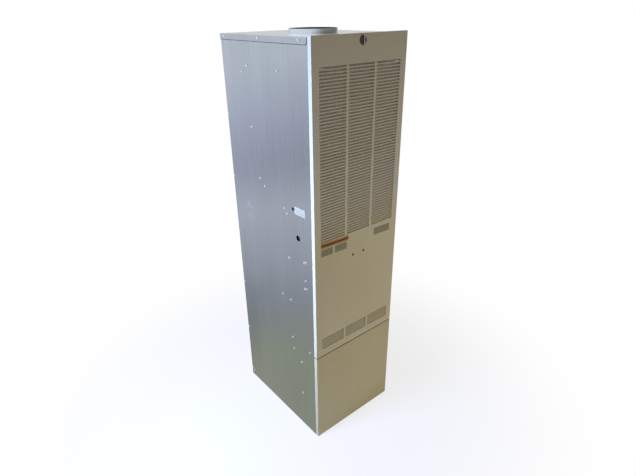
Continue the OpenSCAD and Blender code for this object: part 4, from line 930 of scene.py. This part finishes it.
class FURNACE_OT_cap_shadow_strip(bpy.types.Operator):
    """Runs a dark strip under the turned-down edges of the cap: a painted shadow line."""

    bl_idname = "furnace.cap_seam"
    bl_label = "Cap shadow strip"

    def execute(self, context):
        # painted shadow: a dark strip standing for the shade under the cap's edge
        shadow_strip_finish = rubber_finish("painted_shadow_strip", (0.05, 0.045, 0.032), 300)
        low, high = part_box("top_panel")
        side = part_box("right_side")[1].x
        round_r, front = 0.012, low.y + 0.002
        path = [(high.y - 0.0015, LIP_FOOT), (front + round_r, LIP_FOOT)]
        for k in range(1, 7):
            a = math.radians(15 * k)
            path.append((front + round_r * (1 - math.sin(a)), LIP_FOOT + round_r * (1 - math.cos(a))))
        # section of the strip: out from the side, and from the edge of the cap downwards
        section = ((0.00005, -0.001), (0.0009, -0.001), (0.0009, 0.0008), (0.0006, 0.0028), (0.00005, 0.0034))
        bm = bmesh.new()
        for turn in (-1, 1):
            rings = []
            for i, (y, z) in enumerate(path):
                (y1, z1), (y2, z2) = path[max(i - 1, 0)], path[min(i + 1, len(path) - 1)]
                along = Vector((0, y2 - y1, z2 - z1)).normalized()
                down = Vector((0, -along.z, along.y))
                rings.append([bm.verts.new(Vector((turn * (side + out), y, z)) + down * drop)
                              for out, drop in section])
            for a, b in zip(rings, rings[1:]):
                for k in range(len(section)):
                    k2 = (k + 1) % len(section)
                    bm.faces.new((a[k], a[k2], b[k2], b[k]))
            bm.faces.new(rings[0])
            bm.faces.new(list(reversed(rings[-1])))
        new_piece("cap_seam", bm, shadow_strip_finish.material, "cabinet", smooth=True)
        return {"FINISHED"}


class FURNACE_OT_louvre_glints(bpy.types.Operator):
    """Adds small bright tabs at the ends of the first louvre row: painted glints."""

    bl_idname = "furnace.louvre_tabs"
    bl_label = "Louvre glints"

    def execute(self, context):
        # painted glint: the tabs are bright zinc
        bright = dull_steel("glint_tab_zinc", (0.80, 0.80, 0.76), 90, (0.28, 0.4))
        bm = bmesh.new()
        for x0, x1 in GLINT_SPANS:
            pressed_bead(bm, on_door((x0 + x1) / 2, GLINT_Z, -GLINT_IN), Vector((1, 0, 0)), Vector((0, -1, 0.4)),
                         (x1 - x0) / 2 * MM, 0.0026, 0.0018)
        new_piece("louvre_row_glints", bm, bright.material, "upper_door", smooth=True)
        return {"FINISHED"}


class FURNACE_PT_panel(bpy.types.Panel):
    """Furnace finishes and small pieces"""

    bl_idname = "FURNACE_PT_panel"
    bl_label = "Furnace"
    bl_space_type = "VIEW_3D"
    bl_region_type = "UI"
    bl_category = "Furnace"

    def draw(self, context):
        layout = self.layout
        for group in (context.scene.furnace_colours, context.scene.furnace_sizes):
            for name in group.__annotations__:
                layout.prop(group, name)
        for maker in MAKERS:
            layout.operator(maker.bl_idname)


MAKERS = (FURNACE_OT_stage, FURNACE_OT_zinc, FURNACE_OT_enamel, FURNACE_OT_inner, FURNACE_OT_labels,
          FURNACE_OT_press_marks, FURNACE_OT_cap_shadow_strip, FURNACE_OT_louvre_glints)
CLASSES = (FURNACE_PG_colours, FURNACE_PG_sizes, *MAKERS, FURNACE_PT_panel)


def register():
    for cls in CLASSES:
        bpy.utils.register_class(cls)
    bpy.types.Scene.furnace_colours = PointerProperty(type=FURNACE_PG_colours)
    bpy.types.Scene.furnace_sizes = PointerProperty(type=FURNACE_PG_sizes)


def unregister():
    del bpy.types.Scene.furnace_colours
    del bpy.types.Scene.furnace_sizes
    for cls in reversed(CLASSES):
        bpy.utils.unregister_class(cls)


def main():
    register()
    bpy.ops.furnace.stage()
    bpy.ops.furnace.zinc()
    bpy.ops.furnace.enamel()
    bpy.ops.furnace.inner()
    bpy.ops.furnace.labels()
    bpy.ops.furnace.press_marks()
    bpy.ops.furnace.cap_seam()
    bpy.ops.furnace.louvre_tabs()


if __name__ == "__main__":
    main()
